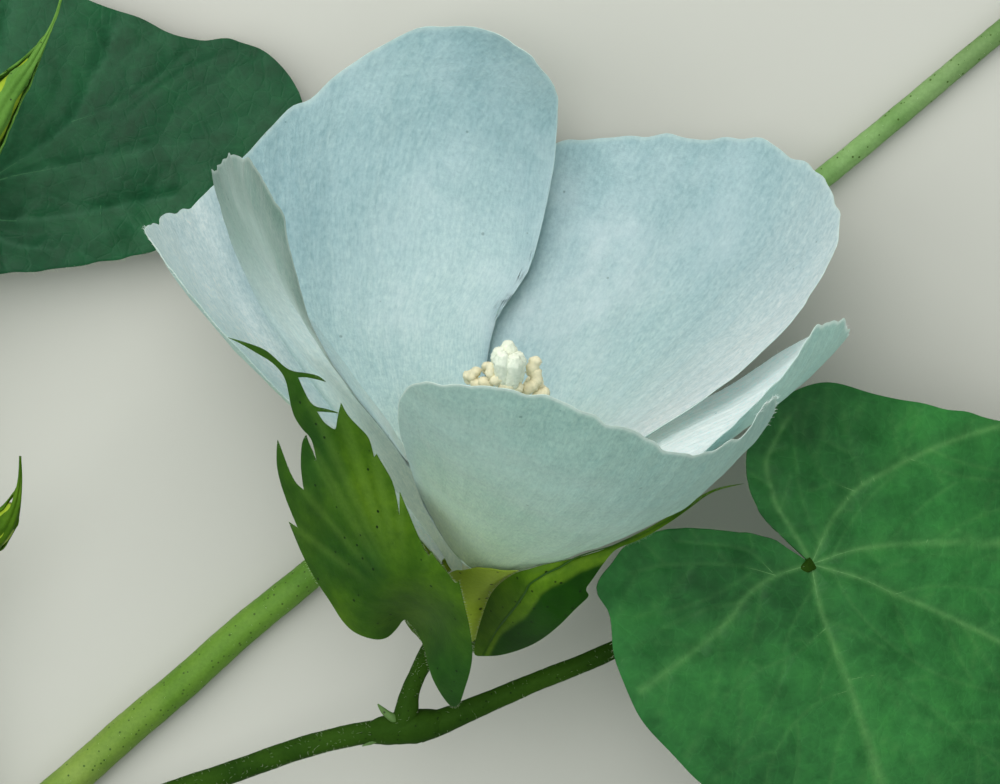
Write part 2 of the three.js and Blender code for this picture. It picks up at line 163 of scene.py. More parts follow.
def petal_material(name, rim, mid, foot, glint, share, dark, reach=0.42, tip=None, sides=(), painted_glow=0.0, line=(0.86, 0.93, 0.88), pale=0.30):
    m, t, b = mat(name, 0.52, Specular_IOR_Level=0.3, Sheen_Weight=0.3, Sheen_Roughness=0.45)
    uv = N(t, "ShaderNodeUVMap", uv_map="fan")
    sep = N(t, "ShaderNodeSeparateXYZ")
    t.links.new(uv.outputs["UV"], sep.inputs[0])
    base = ramp(t, sep.outputs["Y"], [(0.0, foot), (reach, mid), (0.82, rim), (1.0, tip or rim)]).outputs["Color"]
    # the materials below use these side tones for painted sheen and painted shade
    for x0, x1, tone in sides:       # the tone across the petal, from full at x0 to none at x1
        w = N(t, "ShaderNodeMapRange", interpolation_type="SMOOTHSTEP")
        t.links.new(sep.outputs["X"], w.inputs["Value"])
        w.inputs["From Min"].default_value, w.inputs["From Max"].default_value = (x0, x1) if x0 < x1 else (x1, x0)
        w.inputs["To Min"].default_value, w.inputs["To Max"].default_value = (1, 0) if x0 < x1 else (0, 1)
        base = mix(t, "MIX", w.outputs[0], base, tone)
    fan = N(t, "ShaderNodeMapping")
    fan.inputs["Scale"].default_value = (30, 1.5, 1)
    t.links.new(uv.outputs["UV"], fan.inputs["Vector"])
    streak = noise(t, fan.outputs[0], 1.7, 6.0, 0.62)
    fan2 = N(t, "ShaderNodeMapping")
    fan2.inputs["Scale"].default_value = (95, 14, 1)
    t.links.new(uv.outputs["UV"], fan2.inputs["Vector"])
    fibre = noise(t, fan2.outputs[0], 1.0, 4.0, 0.65)
    o = coords(t, "Object")
    cloud = noise(t, o, 70, 3.0, 0.5)
    patch = noise(t, o, 260, 4.0, 0.6)
    fine = noise(t, o, 1700, 3.0, 0.7)
    # slow clouds, radial streaks, short strokes of light and dark cells, then soft broad sheens
    col = mix(t, "MULTIPLY", 1.0, base, ramp(t, cloud, [(0.28, dark), (0.68, (1.0, 1.0, 1.0))]).outputs["Color"])
    col = mix(t, "MULTIPLY", 1.0, col, ramp(t, streak, [(0.32, (0.93, 0.955, 0.965)), (0.6, (1.0, 1.0, 1.0))]).outputs["Color"])
    col = mix(t, "MULTIPLY", 1.0, col, ramp(t, fibre, [(0.34, (0.93, 0.96, 0.97)), (0.66, (1.03, 1.02, 1.02))]).outputs["Color"])
    fan3 = N(t, "ShaderNodeMapping")
    fan3.inputs["Scale"].default_value = (210, 62, 1)
    t.links.new(uv.outputs["UV"], fan3.inputs["Vector"])
    stroke = noise(t, fan3.outputs[0], 1.0, 3.0, 0.6)
    col = mix(t, "MULTIPLY", 1.0, col, ramp(t, stroke, [(0.34, (0.86, 0.90, 0.91)), (0.52, (1.0, 1.0, 1.0)), (0.70, (1.10, 1.07, 1.05))]).outputs["Color"])
    grainy = ramp(t, fine, [(0.36, (0.90, 0.93, 0.94)), (0.64, (1.09, 1.06, 1.05))]).outputs["Color"]
    col = mix(t, "MULTIPLY", 1.0, col, grainy)
    sheen = noise(t, o, 48, 2.0, 0.5)
    mul = N(t, "ShaderNodeMath", operation="MULTIPLY")
    t.links.new(ramp(t, sheen, [(0.46, (0, 0, 0)), (0.70, (1, 1, 1))]).outputs["Color"], mul.inputs[0])
    t.links.new(ramp(t, patch, [(0.30, (0.12, 0.12, 0.12)), (0.70, (0.62, 0.62, 0.62))]).outputs["Color"], mul.inputs[1])
    col = mix(t, "MIX", mul.outputs[0], col, glint)
    speck = dots(t, o, 230, 0.035)
    col = mix(t, "MULTIPLY", 1.0, col, ramp(t, speck, [(0.0, (1, 1, 1)), (1.0, (0.62, 0.66, 0.66))]).outputs["Color"])
    # a thin painted highlight along the rim and the side margins, as thin edges catching light
    edge = ramp(t, sep.outputs["Y"], [(0.991, (0, 0, 0)), (0.997, (pale, pale, pale))]).outputs["Color"]
    col = mix(t, "MIX", edge, col, line)
    edge = ramp(t, sep.outputs["X"], [(0.008, (pale, pale, pale)), (0.010, (0, 0, 0)), (0.990, (0, 0, 0)), (0.992, (pale, pale, pale))]).outputs["Color"]
    col = mix(t, "MIX", edge, col, line)
    t.links.new(col, b.inputs["Base Color"])
    # painted light: emission makes the petal glow, standing in for light passing through it into its shade
    if painted_glow:
        t.links.new(col, b.inputs["Emission Color"])
        b.inputs["Emission Strength"].default_value = painted_glow
    h = N(t, "ShaderNodeMath", operation="MULTIPLY_ADD")
    t.links.new(fibre, h.inputs[0]); h.inputs[1].default_value = 1.0
    t.links.new(fine, h.inputs[2])
    bump(t, b, h.outputs[0], 0.45, 0.00025)
    translucent(t, b, col, share)
    return m


def leaf_material(name, dark, light, share=0.18, rough=0.42):
    m, t, b = mat(name, rough, Specular_IOR_Level=0.32)
    o = coords(t, "Object")
    cloud = noise(t, o, 60, 4.0, 0.55)
    col = ramp(t, cloud, [(0.3, dark), (0.7, light)]).outputs["Color"]
    net = N(t, "ShaderNodeTexVoronoi", feature="DISTANCE_TO_EDGE")
    net.inputs["Scale"].default_value = 620
    t.links.new(o, net.inputs["Vector"])
    web = ramp(t, net.outputs["Distance"], [(0.0, (1, 1, 1)), (0.10, (0, 0, 0))]).outputs["Color"]
    net2 = N(t, "ShaderNodeTexVoronoi", feature="DISTANCE_TO_EDGE")
    net2.inputs["Scale"].default_value = 210
    t.links.new(o, net2.inputs["Vector"])
    web2 = ramp(t, net2.outputs["Distance"], [(0.0, (1, 1, 1)), (0.07, (0, 0, 0))]).outputs["Color"]
    lit = tuple(min(1, c * 1.45 + 0.012) for c in light)
    f = mix(t, "MIX", 0.5, web, web2)
    fs = N(t, "ShaderNodeMath", operation="MULTIPLY")
    t.links.new(f, fs.inputs[0]); fs.inputs[1].default_value = 0.42
    col = mix(t, "MIX", fs.outputs[0], col, lit)
    fine = noise(t, o, 1500, 2.0, 0.6)
    grain = ramp(t, fine, [(0.3, (0.88, 0.9, 0.88)), (0.7, (1.05, 1.05, 1.05))]).outputs["Color"]
    col = mix(t, "MULTIPLY", 1.0, col, grain)
    t.links.new(col, b.inputs["Base Color"])
    hh = mix(t, "MIX", 0.4, f, fine)
    bump(t, b, hh, 0.45, -0.00018)
    translucent(t, b, tuple(min(1, c * 1.6) for c in light), share)
    return m


def skin_material(name, base, other, gland=(0.02, 0.03, 0.01), scale=900, size=0.10, share=0.0, rough=0.5, cloud_scale=120, painted_shade_colour=None, gloss=0.12, along=None):
    m, t, b = mat(name, rough, Specular_IOR_Level=gloss)
    o = coords(t, "Object")
    col = ramp(t, noise(t, o, cloud_scale, 4.0, 0.55), [(0.3, base), (0.7, other)]).outputs["Color"]
    # painted shade: where the blue channel of the 'vein' attribute is high, the colour turns to the given shade colour
    if painted_shade_colour:
        at_ = N(t, "ShaderNodeAttribute", attribute_name="vein")
        sep = N(t, "ShaderNodeSeparateColor")
        t.links.new(at_.outputs["Color"], sep.inputs[0])
        col = mix(t, "MIX", sep.outputs["Blue"], col, painted_shade_colour)
        spots = noise(t, o, 420, 4.0, 0.6)
        col = mix(t, "MULTIPLY", 1.0, col, ramp(t, spots, [(0.36, (0.74, 0.80, 0.76)), (0.66, (1.18, 1.12, 1.06))]).outputs["Color"])
        broad = noise(t, o, 150, 3.0, 0.55)
        col = mix(t, "MULTIPLY", 1.0, col, ramp(t, broad, [(0.34, (0.76, 0.82, 0.80)), (0.64, (1.14, 1.10, 1.04))]).outputs["Color"])
        col = mix(t, "MIX", sep.outputs["Red"], col, tuple(min(1, c * 1.5 + 0.03) for c in other))
    if along:                        # a slow change of tone along the stem, from x = -55 mm to 55 mm
        xyz = N(t, "ShaderNodeSeparateXYZ")
        t.links.new(o, xyz.inputs[0])
        w = N(t, "ShaderNodeMapRange")
        t.links.new(xyz.outputs["X"], w.inputs["Value"])
        w.inputs["From Min"].default_value, w.inputs["From Max"].default_value = -0.055, 0.055
        col = mix(t, "MULTIPLY", 1.0, col, ramp(t, w.outputs[0], along).outputs["Color"])
    fine = noise(t, o, 2600, 2.0, 0.6)
    grain = ramp(t, fine, [(0.3, (0.88, 0.9, 0.88)), (0.7, (1.06, 1.06, 1.06))]).outputs["Color"]
    col = mix(t, "MULTIPLY", 1.0, col, grain)
    g = dots(t, o, scale, size)
    col = mix(t, "MIX", g, col, gland)
    t.links.new(col, b.inputs["Base Color"])
    bump(t, b, fine, 0.3, 0.0001)
    if share:
        translucent(t, b, tuple(min(1, c * 1.5) for c in other), share)
    return m


def leaf_blade_material(name, dark, light, vein, share=0.16, rough=0.46):
    """upper skin of a leaf: the "vein" attribute carries nearness to a vein (red) and a slow change of tone (green)"""
    m, t, b = mat(name, rough, Specular_IOR_Level=0.2)
    o = coords(t, "Object")
    at_ = N(t, "ShaderNodeAttribute", attribute_name="vein")
    sep = N(t, "ShaderNodeSeparateColor")
    t.links.new(at_.outputs["Color"], sep.inputs[0])
    cloud = noise(t, o, 75, 5.0, 0.62)
    tone = N(t, "ShaderNodeMath", operation="MULTIPLY_ADD")
    t.links.new(sep.outputs["Green"], tone.inputs[0]); tone.inputs[1].default_value = 0.45
    t.links.new(cloud, tone.inputs[2])
    col = ramp(t, tone.outputs[0], [(0.42, dark), (1.0, light)]).outputs["Color"]
    webs = []
    for scale, width in ((210, 0.06), (620, 0.09)):
        net = N(t, "ShaderNodeTexVoronoi", feature="DISTANCE_TO_EDGE")
        net.inputs["Scale"].default_value = scale
        t.links.new(o, net.inputs["Vector"])
        webs.append(ramp(t, net.outputs["Distance"], [(0.0, (1, 1, 1)), (width, (0, 0, 0))]).outputs["Color"])
    f = mix(t, "MIX", 0.5, webs[0], webs[1])
    fs = N(t, "ShaderNodeMath", operation="MULTIPLY")
    t.links.new(f, fs.inputs[0]); fs.inputs[1].default_value = 0.16
    col = mix(t, "MIX", fs.outputs[0], col, tuple(c * 1.5 + 0.01 for c in light))
    col = mix(t, "MIX", sep.outputs["Red"], col, vein)
    mott = noise(t, o, 300, 4.0, 0.6)
    col = mix(t, "MULTIPLY", 1.0, col, ramp(t, mott, [(0.34, (0.66, 0.78, 0.72)), (0.52, (1.0, 1.0, 1.0)), (0.68, (1.18, 1.12, 1.08))]).outputs["Color"])
    fine = noise(t, o, 1500, 2.0, 0.6)
    grain = ramp(t, fine, [(0.3, (0.90, 0.91, 0.90)), (0.7, (1.05, 1.05, 1.05))]).outputs["Color"]
    col = mix(t, "MULTIPLY", 1.0, col, grain)
    t.links.new(col, b.inputs["Base Color"])
    bump(t, b, mix(t, "MIX", 0.4, f, fine), 0.4, -0.00015)
    translucent(t, b, tuple(min(1, c * 1.6) for c in light), share)
    return m


M = {}
# petal_in: the darker bluish rim and the brighter, whiter middle of the ramp are painted shade and painted light from
# light scattered inside the flower; the yellow-green foot is the petal's own colour
M["petal_in"] = petal_material("petal_inner", (0.47, 0.63, 0.66), (0.71, 0.86, 0.85), (0.82, 0.90, 0.66), (0.84, 0.92, 0.96), 0.30, (0.86, 0.92, 0.94))
# petal_out: the dark grey-green of the outer face is partly painted shade with green bounce light, partly the greener
# colour of the outer skin
M["petal_out"] = petal_material("petal_outer", (0.40, 0.60, 0.54), (0.44, 0.63, 0.46), (0.61, 0.72, 0.30), (0.58, 0.77, 0.70), 0.30, (0.88, 0.92, 0.91), 0.42, pale=0.6)
# IN: the same inner colours as petal_in, with the painted shade at the rim and the painted light in the middle
IN = ((0.47, 0.63, 0.66), (0.71, 0.86, 0.85), (0.82, 0.90, 0.66), (0.84, 0.92, 0.96), 0.30, (0.86, 0.92, 0.94))
# petal_in_a: the whiter tone on one side is a painted sheen, and the small emission is a faint painted glow
M["petal_in_a"] = petal_material("petal_inner_a", *IN, sides=((0.58, 0.47, (0.95, 0.99, 1.0)),), painted_glow=0.05)
# petal_in_b: the darker bluish tone along the side under petal_back_left is painted shade from that petal; the other
# side tone makes the far side whiter
M["petal_in_b"] = petal_material("petal_inner_b", *IN, sides=((0.80, 0.56, (0.50, 0.68, 0.72)), (0.12, 0.52, (0.95, 0.96, 0.97))))
# petal_in_r: a much brighter copy of the inner colours with a strong emission, as painted light on the right petal's
# inner face, which lies in shade under petal_back_right
M["petal_in_r"] = petal_material("petal_inner_r_lit", (0.93, 0.97, 0.98), (0.93, 0.97, 0.98), (0.86, 0.92, 0.80), (0.95, 0.98, 1.0), 0.30, (0.93, 0.96, 0.97), painted_glow=0.24)
# petal_out_l_lit_shaded: the very bright middle is painted light on the lower outer face of the left petal, the dark
# tip is painted shade on its upper flap, and the small emission is a painted glow
M["petal_out_l_lit_shaded"] = petal_material("petal_outer_l_lit_shaded", (0.31, 0.48, 0.42), (0.86, 0.97, 0.97), (0.84, 0.92, 0.80), (0.62, 0.78, 0.74), 0.34, (0.92, 0.95, 0.94), 0.56,
                                  tip=(0.14, 0.26, 0.21), painted_glow=0.075, pale=0.25)
FACES = {"petal_back_left": ["petal_in_a", "petal_out"], "petal_back_right": ["petal_in_b", "petal_out"],
         "petal_right": ["petal_in_r", "petal_out"], "petal_left": ["petal_in", "petal_out_l_lit_shaded"]}
M["leaf_under"] = leaf_material("leaf_under", (0.07, 0.17, 0.06), (0.10, 0.22, 0.08), 0.18, 0.6)
M["vein"] = skin_material("vein", (0.10, 0.26, 0.085), (0.14, 0.31, 0.11), size=0.0, gland=(0.1, 0.26, 0.085))
# vein_far_shaded: a darker copy of the vein colours, as painted shade on the veins of the leaf lying farther back
M["vein_far_shaded"] = skin_material("vein_far_shaded", (0.035, 0.14, 0.055), (0.05, 0.17, 0.07), size=0.0, gland=(0.035, 0.14, 0.055))
M["stem"] = skin_material("stem_skin", (0.12, 0.24, 0.040), (0.21, 0.34, 0.080), gland=(0.05, 0.10, 0.015), scale=1300, size=0.14,
                          along=[(0.06, (1.08, 0.92, 0.80)), (0.15, (0.68, 0.75, 0.42)), (0.25, (0.72, 0.82, 0.50)), (0.82, (1.30, 1.25, 2.1)), (0.96, (0.92, 0.86, 1.5))])
M["branch"] = skin_material("branch_skin", (0.012, 0.038, 0.003), (0.028, 0.070, 0.006), gland=(0.008, 0.020, 0.003), scale=1300, size=0.11, rough=0.6, gloss=0.03)
# bract: its second dark colour is painted shade, laid on by the shade mask of each bract
M["bract"] = skin_material("bract_skin", (0.036, 0.106, 0.004), (0.080, 0.168, 0.009), gland=(0.004, 0.010, 0.003), scale=640, size=0.085, share=0.2, rough=0.5, painted_shade_colour=(0.018, 0.078, 0.009), gloss=0.07)
# bract_fold: the brighter colours are the lit side of the right bract, and its dark colour is painted shade beyond the
# fold
M["bract_fold"] = skin_material("bract_folded", (0.072, 0.165, 0.008), (0.115, 0.225, 0.014), gland=(0.004, 0.010, 0.003), scale=640, size=0.085, share=0.2, rough=0.5, painted_shade_colour=(0.009, 0.056, 0.002), gloss=0.07)
M["bract_in"] = skin_material("bract_inner", (0.10, 0.20, 0.035), (0.14, 0.26, 0.05), scale=950, size=0.085, share=0.2, rough=0.5)
M["bract_crease_shadow"] = skin_material("bract_crease_shadow", (0.022, 0.075, 0.010), (0.045, 0.115, 0.018), scale=950, size=0.085, share=0.12, rough=0.5)
M["bract_bright"] = skin_material("bract_bright", (0.09, 0.22, 0.03), (0.14, 0.30, 0.05), scale=950, size=0.085, share=0.2, rough=0.5)
M["bract_vein"] = skin_material("bract_vein", (0.075, 0.17, 0.018), (0.10, 0.21, 0.028), size=0.0, gland=(0.08, 0.17, 0.02), share=0.1)
M["calyx"] = skin_material("calyx_skin", (0.25, 0.36, 0.020), (0.36, 0.47, 0.038), gland=(0.02, 0.03, 0.004), scale=760, size=0.13, share=0.1)
M["anther"] = skin_material("anther", (0.76, 0.66, 0.43), (0.88, 0.82, 0.62), size=0.0, gland=(0.8, 0.76, 0.55), rough=0.7)
M["stigma"] = skin_material("stigma", (0.80, 0.82, 0.66), (0.88, 0.90, 0.78), size=0.0, gland=(0.8, 0.8, 0.6), rough=0.6)
M["filament"] = skin_material("filament", (0.78, 0.80, 0.62), (0.84, 0.86, 0.70), size=0.0, gland=(0.8, 0.8, 0.6), share=0.2)
M["down"] = skin_material("petal_down", (0.78, 0.86, 0.84), (0.92, 0.96, 0.95), size=0.0, gland=(0.8, 0.86, 0.84), share=0.3)
M["hair"] = skin_material("hair", (0.42, 0.48, 0.34), (0.60, 0.64, 0.50), size=0.0, gland=(0.6, 0.6, 0.5), share=0.3)
M["scar"] = skin_material("scar", (0.07, 0.15, 0.035), (0.13, 0.22, 0.07), size=0.10, share=0.15)


# ------------------------------------------------------------------ meshes
def piece(name, verts_mm, faces, mats, replaces=None, face_mat=None, uv=None, smooth=True):
    me = bpy.data.meshes.new(name)
    me.from_pydata(row(verts_mm).tolist(), [], [tuple(int(i) for i in f) for f in faces])
    for m in mats:
        me.materials.append(M[m])
    if face_mat is not None:
        me.polygons.foreach_set("material_index", np.asarray(face_mat, np.int32))
    if uv is not None:
        lay = me.uv_layers.new(name="fan")
        idx = np.empty(len(me.loops), np.int32)
        me.loops.foreach_get("vertex_index", idx)
        lay.data.foreach_set("uv", np.asarray(uv, np.float32)[idx].ravel())
    me.polygons.foreach_set("use_smooth", np.full(len(me.polygons), smooth))
    me.validate()
    me.update()
    if smooth:
        me.set_sharp_from_angle(angle=math.radians(60))
    ob = bpy.data.objects.new(name, me)
    bpy.context.scene.collection.objects.link(ob)
    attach(ob, "root")
    if replaces:
        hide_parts(*([replaces] if isinstance(replaces, str) else replaces))
    return ob


class Bag:
    """many small closed meshes joined into one piece"""
    def __init__(self):
        self.v, self.f, self.n, self.m = [], [], 0, []

    def add(self, v, f, m=0):
        self.v.append(np.asarray(v, float))
        self.f += [tuple(i + self.n for i in q) for q in f]
        self.m += [m] * len(f)
        self.n += len(v)

    def done(self, name, mats, slot, replaces=None, smooth=True):
        return piece(name, np.concatenate(self.v), self.f, mats, replaces, self.m, None, smooth)


def smooth_path(ctrl, n):
    """centripetal-like Catmull-Rom through control points, n even samples along its length"""
    c = np.asarray(ctrl, float)
    p = np.vstack([2 * c[0] - c[1], c, 2 * c[-1] - c[-2]])
    out = []
    for i in range(1, len(p) - 2):
        p0, p1, p2, p3 = p[i - 1], p[i], p[i + 1], p[i + 2]
        t0, t1 = 0.0, np.linalg.norm(p1 - p0) ** 0.5
        t2 = t1 + np.linalg.norm(p2 - p1) ** 0.5
        t3 = t2 + np.linalg.norm(p3 - p2) ** 0.5
        t = np.linspace(t1, t2, 16, endpoint=False)[:, None]
        a1 = (t1 - t) / (t1 - t0) * p0 + (t - t0) / (t1 - t0) * p1
        a2 = (t2 - t) / (t2 - t1) * p1 + (t - t1) / (t2 - t1) * p2
        a3 = (t3 - t) / (t3 - t2) * p2 + (t - t2) / (t3 - t2) * p3
        b1 = (t2 - t) / (t2 - t0) * a1 + (t - t0) / (t2 - t0) * a2
        b2 = (t3 - t) / (t3 - t1) * a2 + (t - t1) / (t3 - t1) * a3
        out.append((t2 - t) / (t2 - t1) * b1 + (t - t1) / (t2 - t1) * b2)
    q = np.vstack(out + [c[-1][None]])
    s = np.r_[0, np.cumsum(np.linalg.norm(np.diff(q, axis=0), axis=1))]
    x = np.linspace(0, s[-1], n)
    return np.stack([np.interp(x, s, q[:, i]) for i in range(q.shape[1])], 1)


def tube(path, radii, sides, relief=None, cap=True):
    """a closed tapering tube; relief(i-array, angle-array) gives extra radius"""
    p = np.asarray(path, float)
    n = len(p)
    d = unit(np.gradient(p, axis=0))
    ref = np.array([0, 0, 1.0]) if abs(d[0][2]) < 0.9 else np.array([1.0, 0, 0])
    nn = np.empty_like(p)
    cur = ref
    for i in range(n):
        cur = cur - d[i] * cur.dot(d[i])
        cur = cur / np.linalg.norm(cur)
        nn[i] = cur
    bb = np.cross(d, nn)
    a = np.linspace(0, 2 * np.pi, sides, endpoint=False)
    r = np.interp(np.linspace(0, 1, n), np.linspace(0, 1, len(radii)), radii)[:, None] * np.ones(sides)
    if relief is not None:
        r = r + relief(np.linspace(0, 1, n)[:, None], a[None, :])
    v = p[:, None] + r[..., None] * (np.cos(a)[None, :, None] * nn[:, None] + np.sin(a)[None, :, None] * bb[:, None])
    v = v.reshape(-1, 3)
    f = []
    for i in range(n - 1):
        for k in range(sides):
            q, w = i * sides + k, i * sides + (k + 1) % sides
            f.append((q, w, w + sides, q + sides))
    if cap:
        v = np.vstack([v, p[0], p[-1]])
        c0, c1, e = n * sides, n * sides + 1, (n - 1) * sides
        for k in range(sides):
            f.append((c0, (k + 1) % sides, k))
            f.append((c1, e + k, e + (k + 1) % sides))
    return v, f, nn, bb, d


def shell(P, half, nrm=None):
    """closed thin shell from a grid of middle points and half thicknesses; returns verts, faces, face side"""
    m, n = P.shape[:2]
    if nrm is None:
        nrm = unit(np.cross(np.gradient(P, axis=0), np.gradient(P, axis=1)))
    A = (P + nrm * half[..., None]).reshape(-1, 3)
    B = (P - nrm * half[..., None]).reshape(-1, 3)
    v = np.vstack([A, B])
    i, j = np.meshgrid(np.arange(m - 1), np.arange(n - 1), indexing="ij")
    a = (i * n + j).ravel()
    quad = np.stack([a, a + n, a + n + 1, a + 1], 1)
    off = m * n
    back = quad[:, ::-1] + off
    ring = [(x, 0) for x in range(m - 1)] + [(m - 1, y) for y in range(n - 1)] + \
           [(x, n - 1) for x in range(m - 1, 0, -1)] + [(0, y) for y in range(n - 1, 0, -1)]
    rid = np.array([x * n + y for x, y in ring])
    nx = np.roll(rid, -1)
    wall = np.stack([rid, rid + off, nx + off, nx], 1)
    f = np.vstack([quad, back, wall])
    side = np.r_[np.zeros(len(quad)), np.ones(len(back)), np.zeros(len(wall))].astype(int)
    return v, f, side


# ------------------------------------------------------------------ corolla (as in the part)
FOOT = [467.42, 574.53, 17.0]
AXIS = [0.31, 0.5521]
OPENING = np.array([
    [0.6448, -0.3269, -0.3512, 0.1714, 0.3176],
    [1.319, -0.1688, 0.5504, -0.4873, -0.5894],
    [-1.8177, 0.4975, -0.5722, 0.3527, 0.011]])
PETALS = {
    "petal_front": [23.115, 56.966, 56.687, 48.473, 2.58, 4.275, -0.338, 0, 5.87, 0.067, -0.792, 0.218, 0.523, 0.117, -0.304],
    "petal_right": [90.024, 39.301, 50.05, 50.908, 2.341, 3.589, -0.088, 0.01, 3.323, 3.193, -0.538, 0.632, -0.258, 0.447, 0.283],
    "petal_back_right": [164.336, 55.437, 51.346, 57.418, 3.012, 1.6, 0.026, -0.015, 1.867, 6.634, -1.359, 0.646, 0.104, 0.097, 0.093],
    "petal_back_left": [230.954, 41.301, 43.997, 47.312, 3.731, 3.408, -0.372, -1.566, 11.04, 0.05, 0.314, -0.083, 0.809, 0.258, 0.723],
    "petal_left": [282.39, 44.191, 32.869, 57.772, 3.307, 3.313, 0.322, -2.713, -2.897, 4.404, -2.48, -0.343, 0.484, -0.134, 0.801],
}
SIDES = {"petal_front": (1, 1), "petal_right": (-1, 1), "petal_back_right": (-1, 1), "petal_back_left": (-1, 1), "petal_left": (-1, -1)}
LEN, R0 = 52.0, 2.6
foot = at(*FOOT)
axis = np.array([AXIS[0], math.sqrt(1 - AXIS[0] ** 2 - AXIS[1] ** 2), AXIS[1]])
e_right = unit(np.cross(axis, [0, 0, 1.0]))
e_view = unit(np.cross(e_right, axis))
if e_view[2] < 0:
    e_view = -e_view
if e_right[0] < 0:
    e_right = -e_right


def corolla(phi, ell):
    B = np.stack([np.ones_like(phi), np.cos(phi), np.sin(phi), np.cos(2 * phi), np.sin(2 * phi)], -1)
    c = B @ OPENING.T
    gx, gw = np.polynomial.legendre.leggauss(6)
    rho, h = 0, 0
    for x, w in zip(gx, gw):
        t = ell * (x + 1) / 2 / LEN
        al = c[..., 0] + c[..., 1] * t + c[..., 2] * t * t
        rho = rho + np.sin(al) * w * ell / 2
        h = h + np.cos(al) * w * ell / 2
    t = ell / LEN
    return rho, h, c[..., 0] + c[..., 1] * t + c[..., 2] * t * t


def flower_point(rho, h, phi):
    e = np.cos(phi)[..., None] * e_view + np.sin(phi)[..., None] * e_right
    return foot + np.asarray(rho)[..., None] * e + np.asarray(h)[..., None] * axis


def petal_points(name, s, t, rimvar=None):
    p, (lo, hi) = PETALS[name], SIDES[name]
    rim = p[3] * np.sqrt(np.clip(1 - np.abs(s) ** np.where(s < 0, p[4], p[5]), 0, 1)) * (1 + p[6] * s + p[11] * s ** 3 + p[12] * s * s)
    if name == "petal_front":
        rim = rim * np.interp(s, [-0.9, -0.87, -0.847, -0.82, -0.77, -0.725, -0.68, -0.637, -0.595, -0.55, -0.44, -0.38, -0.32, -0.25, -0.1],
                              [1.068, 1.065, 1.062, 1.052, 1.032, 1.02, 1.01, 1.0, 0.993, 0.987, 0.988, 0.99, 0.996, 1.004, 1.0])
    if name == "petal_back_left":
        rim = rim * np.interp(s, [-0.96, -0.9, -0.85, -0.8, -0.7, -0.6, -0.5], [1.0, 0.985, 0.973, 0.967, 0.984, 0.995, 1.0])
    if name == "petal_left":         # its rim closes into a rounded tip
        rim = rim * np.interp(s, [-0.85, -0.7, -0.6, -0.45, -0.3, -0.2, -0.1, 0.0, 0.1, 0.25], [1.0, 0.986, 0.974, 0.968, 0.974, 0.988, 1.004, 1.010, 1.008, 1.0])
    if name == "petal_right":
        rim = rim * np.interp(s, [-0.1, 0.03, 0.15, 0.3, 0.45, 0.6, 0.75], [1.0, 1.0, 0.982, 0.966, 0.967, 0.985, 1.0])
    if rimvar is not None:
        rim = rim * rimvar
    ell = t * rim
    tt = ell / LEN
    w_lo, w_hi = p[1] * (1 + p[13] * (tt - 0.7)), p[2] * (1 + p[14] * (tt - 0.7))
    if name == "petal_front":        # fuller on its left side, narrowing to a claw inside the calyx
        w_lo = w_lo * np.interp(ell, [7.6, 9.1, 10.5, 13.1, 17.2, 24, 30.4, 36.3, 41.6, 48], [1.03, 1.12, 1.25, 1.30, 1.24, 1.115, 1.035, 0.995, 0.968, 0.958])
        w_lo = np.minimum(w_lo, np.interp(ell, [7.0, 7.4, 7.8, 8.3, 9.6], [12, 20, 42, 54, 72]))
        w_hi = np.minimum(w_hi, np.interp(ell, [0, 10.5, 11.5, 12.6, 13.6, 15.1, 15.7, 16.4, 18, 20.5], [1.5, 1.5, 3.4, 5.8, 7.4, 9.6, 15, 22, 45, 80]))
    if name == "petal_right":        # reaches a little under its neighbour
        q = np.clip((34 - ell) / 10, 0, 1)
        w_hi = w_hi + 6.5 * q * q * (3 - 2 * q)
    if name == "petal_left":         # widens beneath its neighbour
        q = np.clip((17.6 - ell) / 4.5, 0, 1)
        w_hi = w_hi + 44 * q * q * (3 - 2 * q)
    if name == "petal_back_left":    # a shallow wave in the margin that lies on its neighbour
        w_lo = w_lo * np.interp(ell, [25, 27.6, 30.6, 32.8, 34.6, 36.8, 39.8, 42.5, 45.3, 48.7, 52.9, 56.9, 61],
                                [0.985, 0.977, 0.969, 0.967, 0.976, 1.018, 1.045, 1.038, 1.029, 1.016, 1.0, 0.98, 0.97])
    phi = math.radians(p[0]) + np.radians(np.where(s < 0, w_lo, w_hi)) * s
    rho, h, al = corolla(phi, ell)
    g = 0.8 + 2.0 * tt ** 2
    d = g * ((hi - lo) / 2 * s + (hi + lo) / 2)
    m_lo, m_hi = {"petal_back_left": (0.9, p[9]), "petal_back_right": (p[7], 3.2)}.get(name, (p[7], p[9]))
    d = d + tt ** 2 * (m_lo * np.clip(-s, 0, 1) ** 2 + m_hi * np.clip(s, 0, 1) ** 2)
    foot_ease = np.clip((ell - 5) / 12, 0, 1) if name == "petal_left" else 1.0
    d = d + (1 - s * s) ** 2 * (p[8] * tt ** 2 + foot_ease * p[10] * tt * (1 - tt) * 4)
    return flower_point(R0 + rho + d * np.cos(al), h - d * np.sin(al), phi), tt


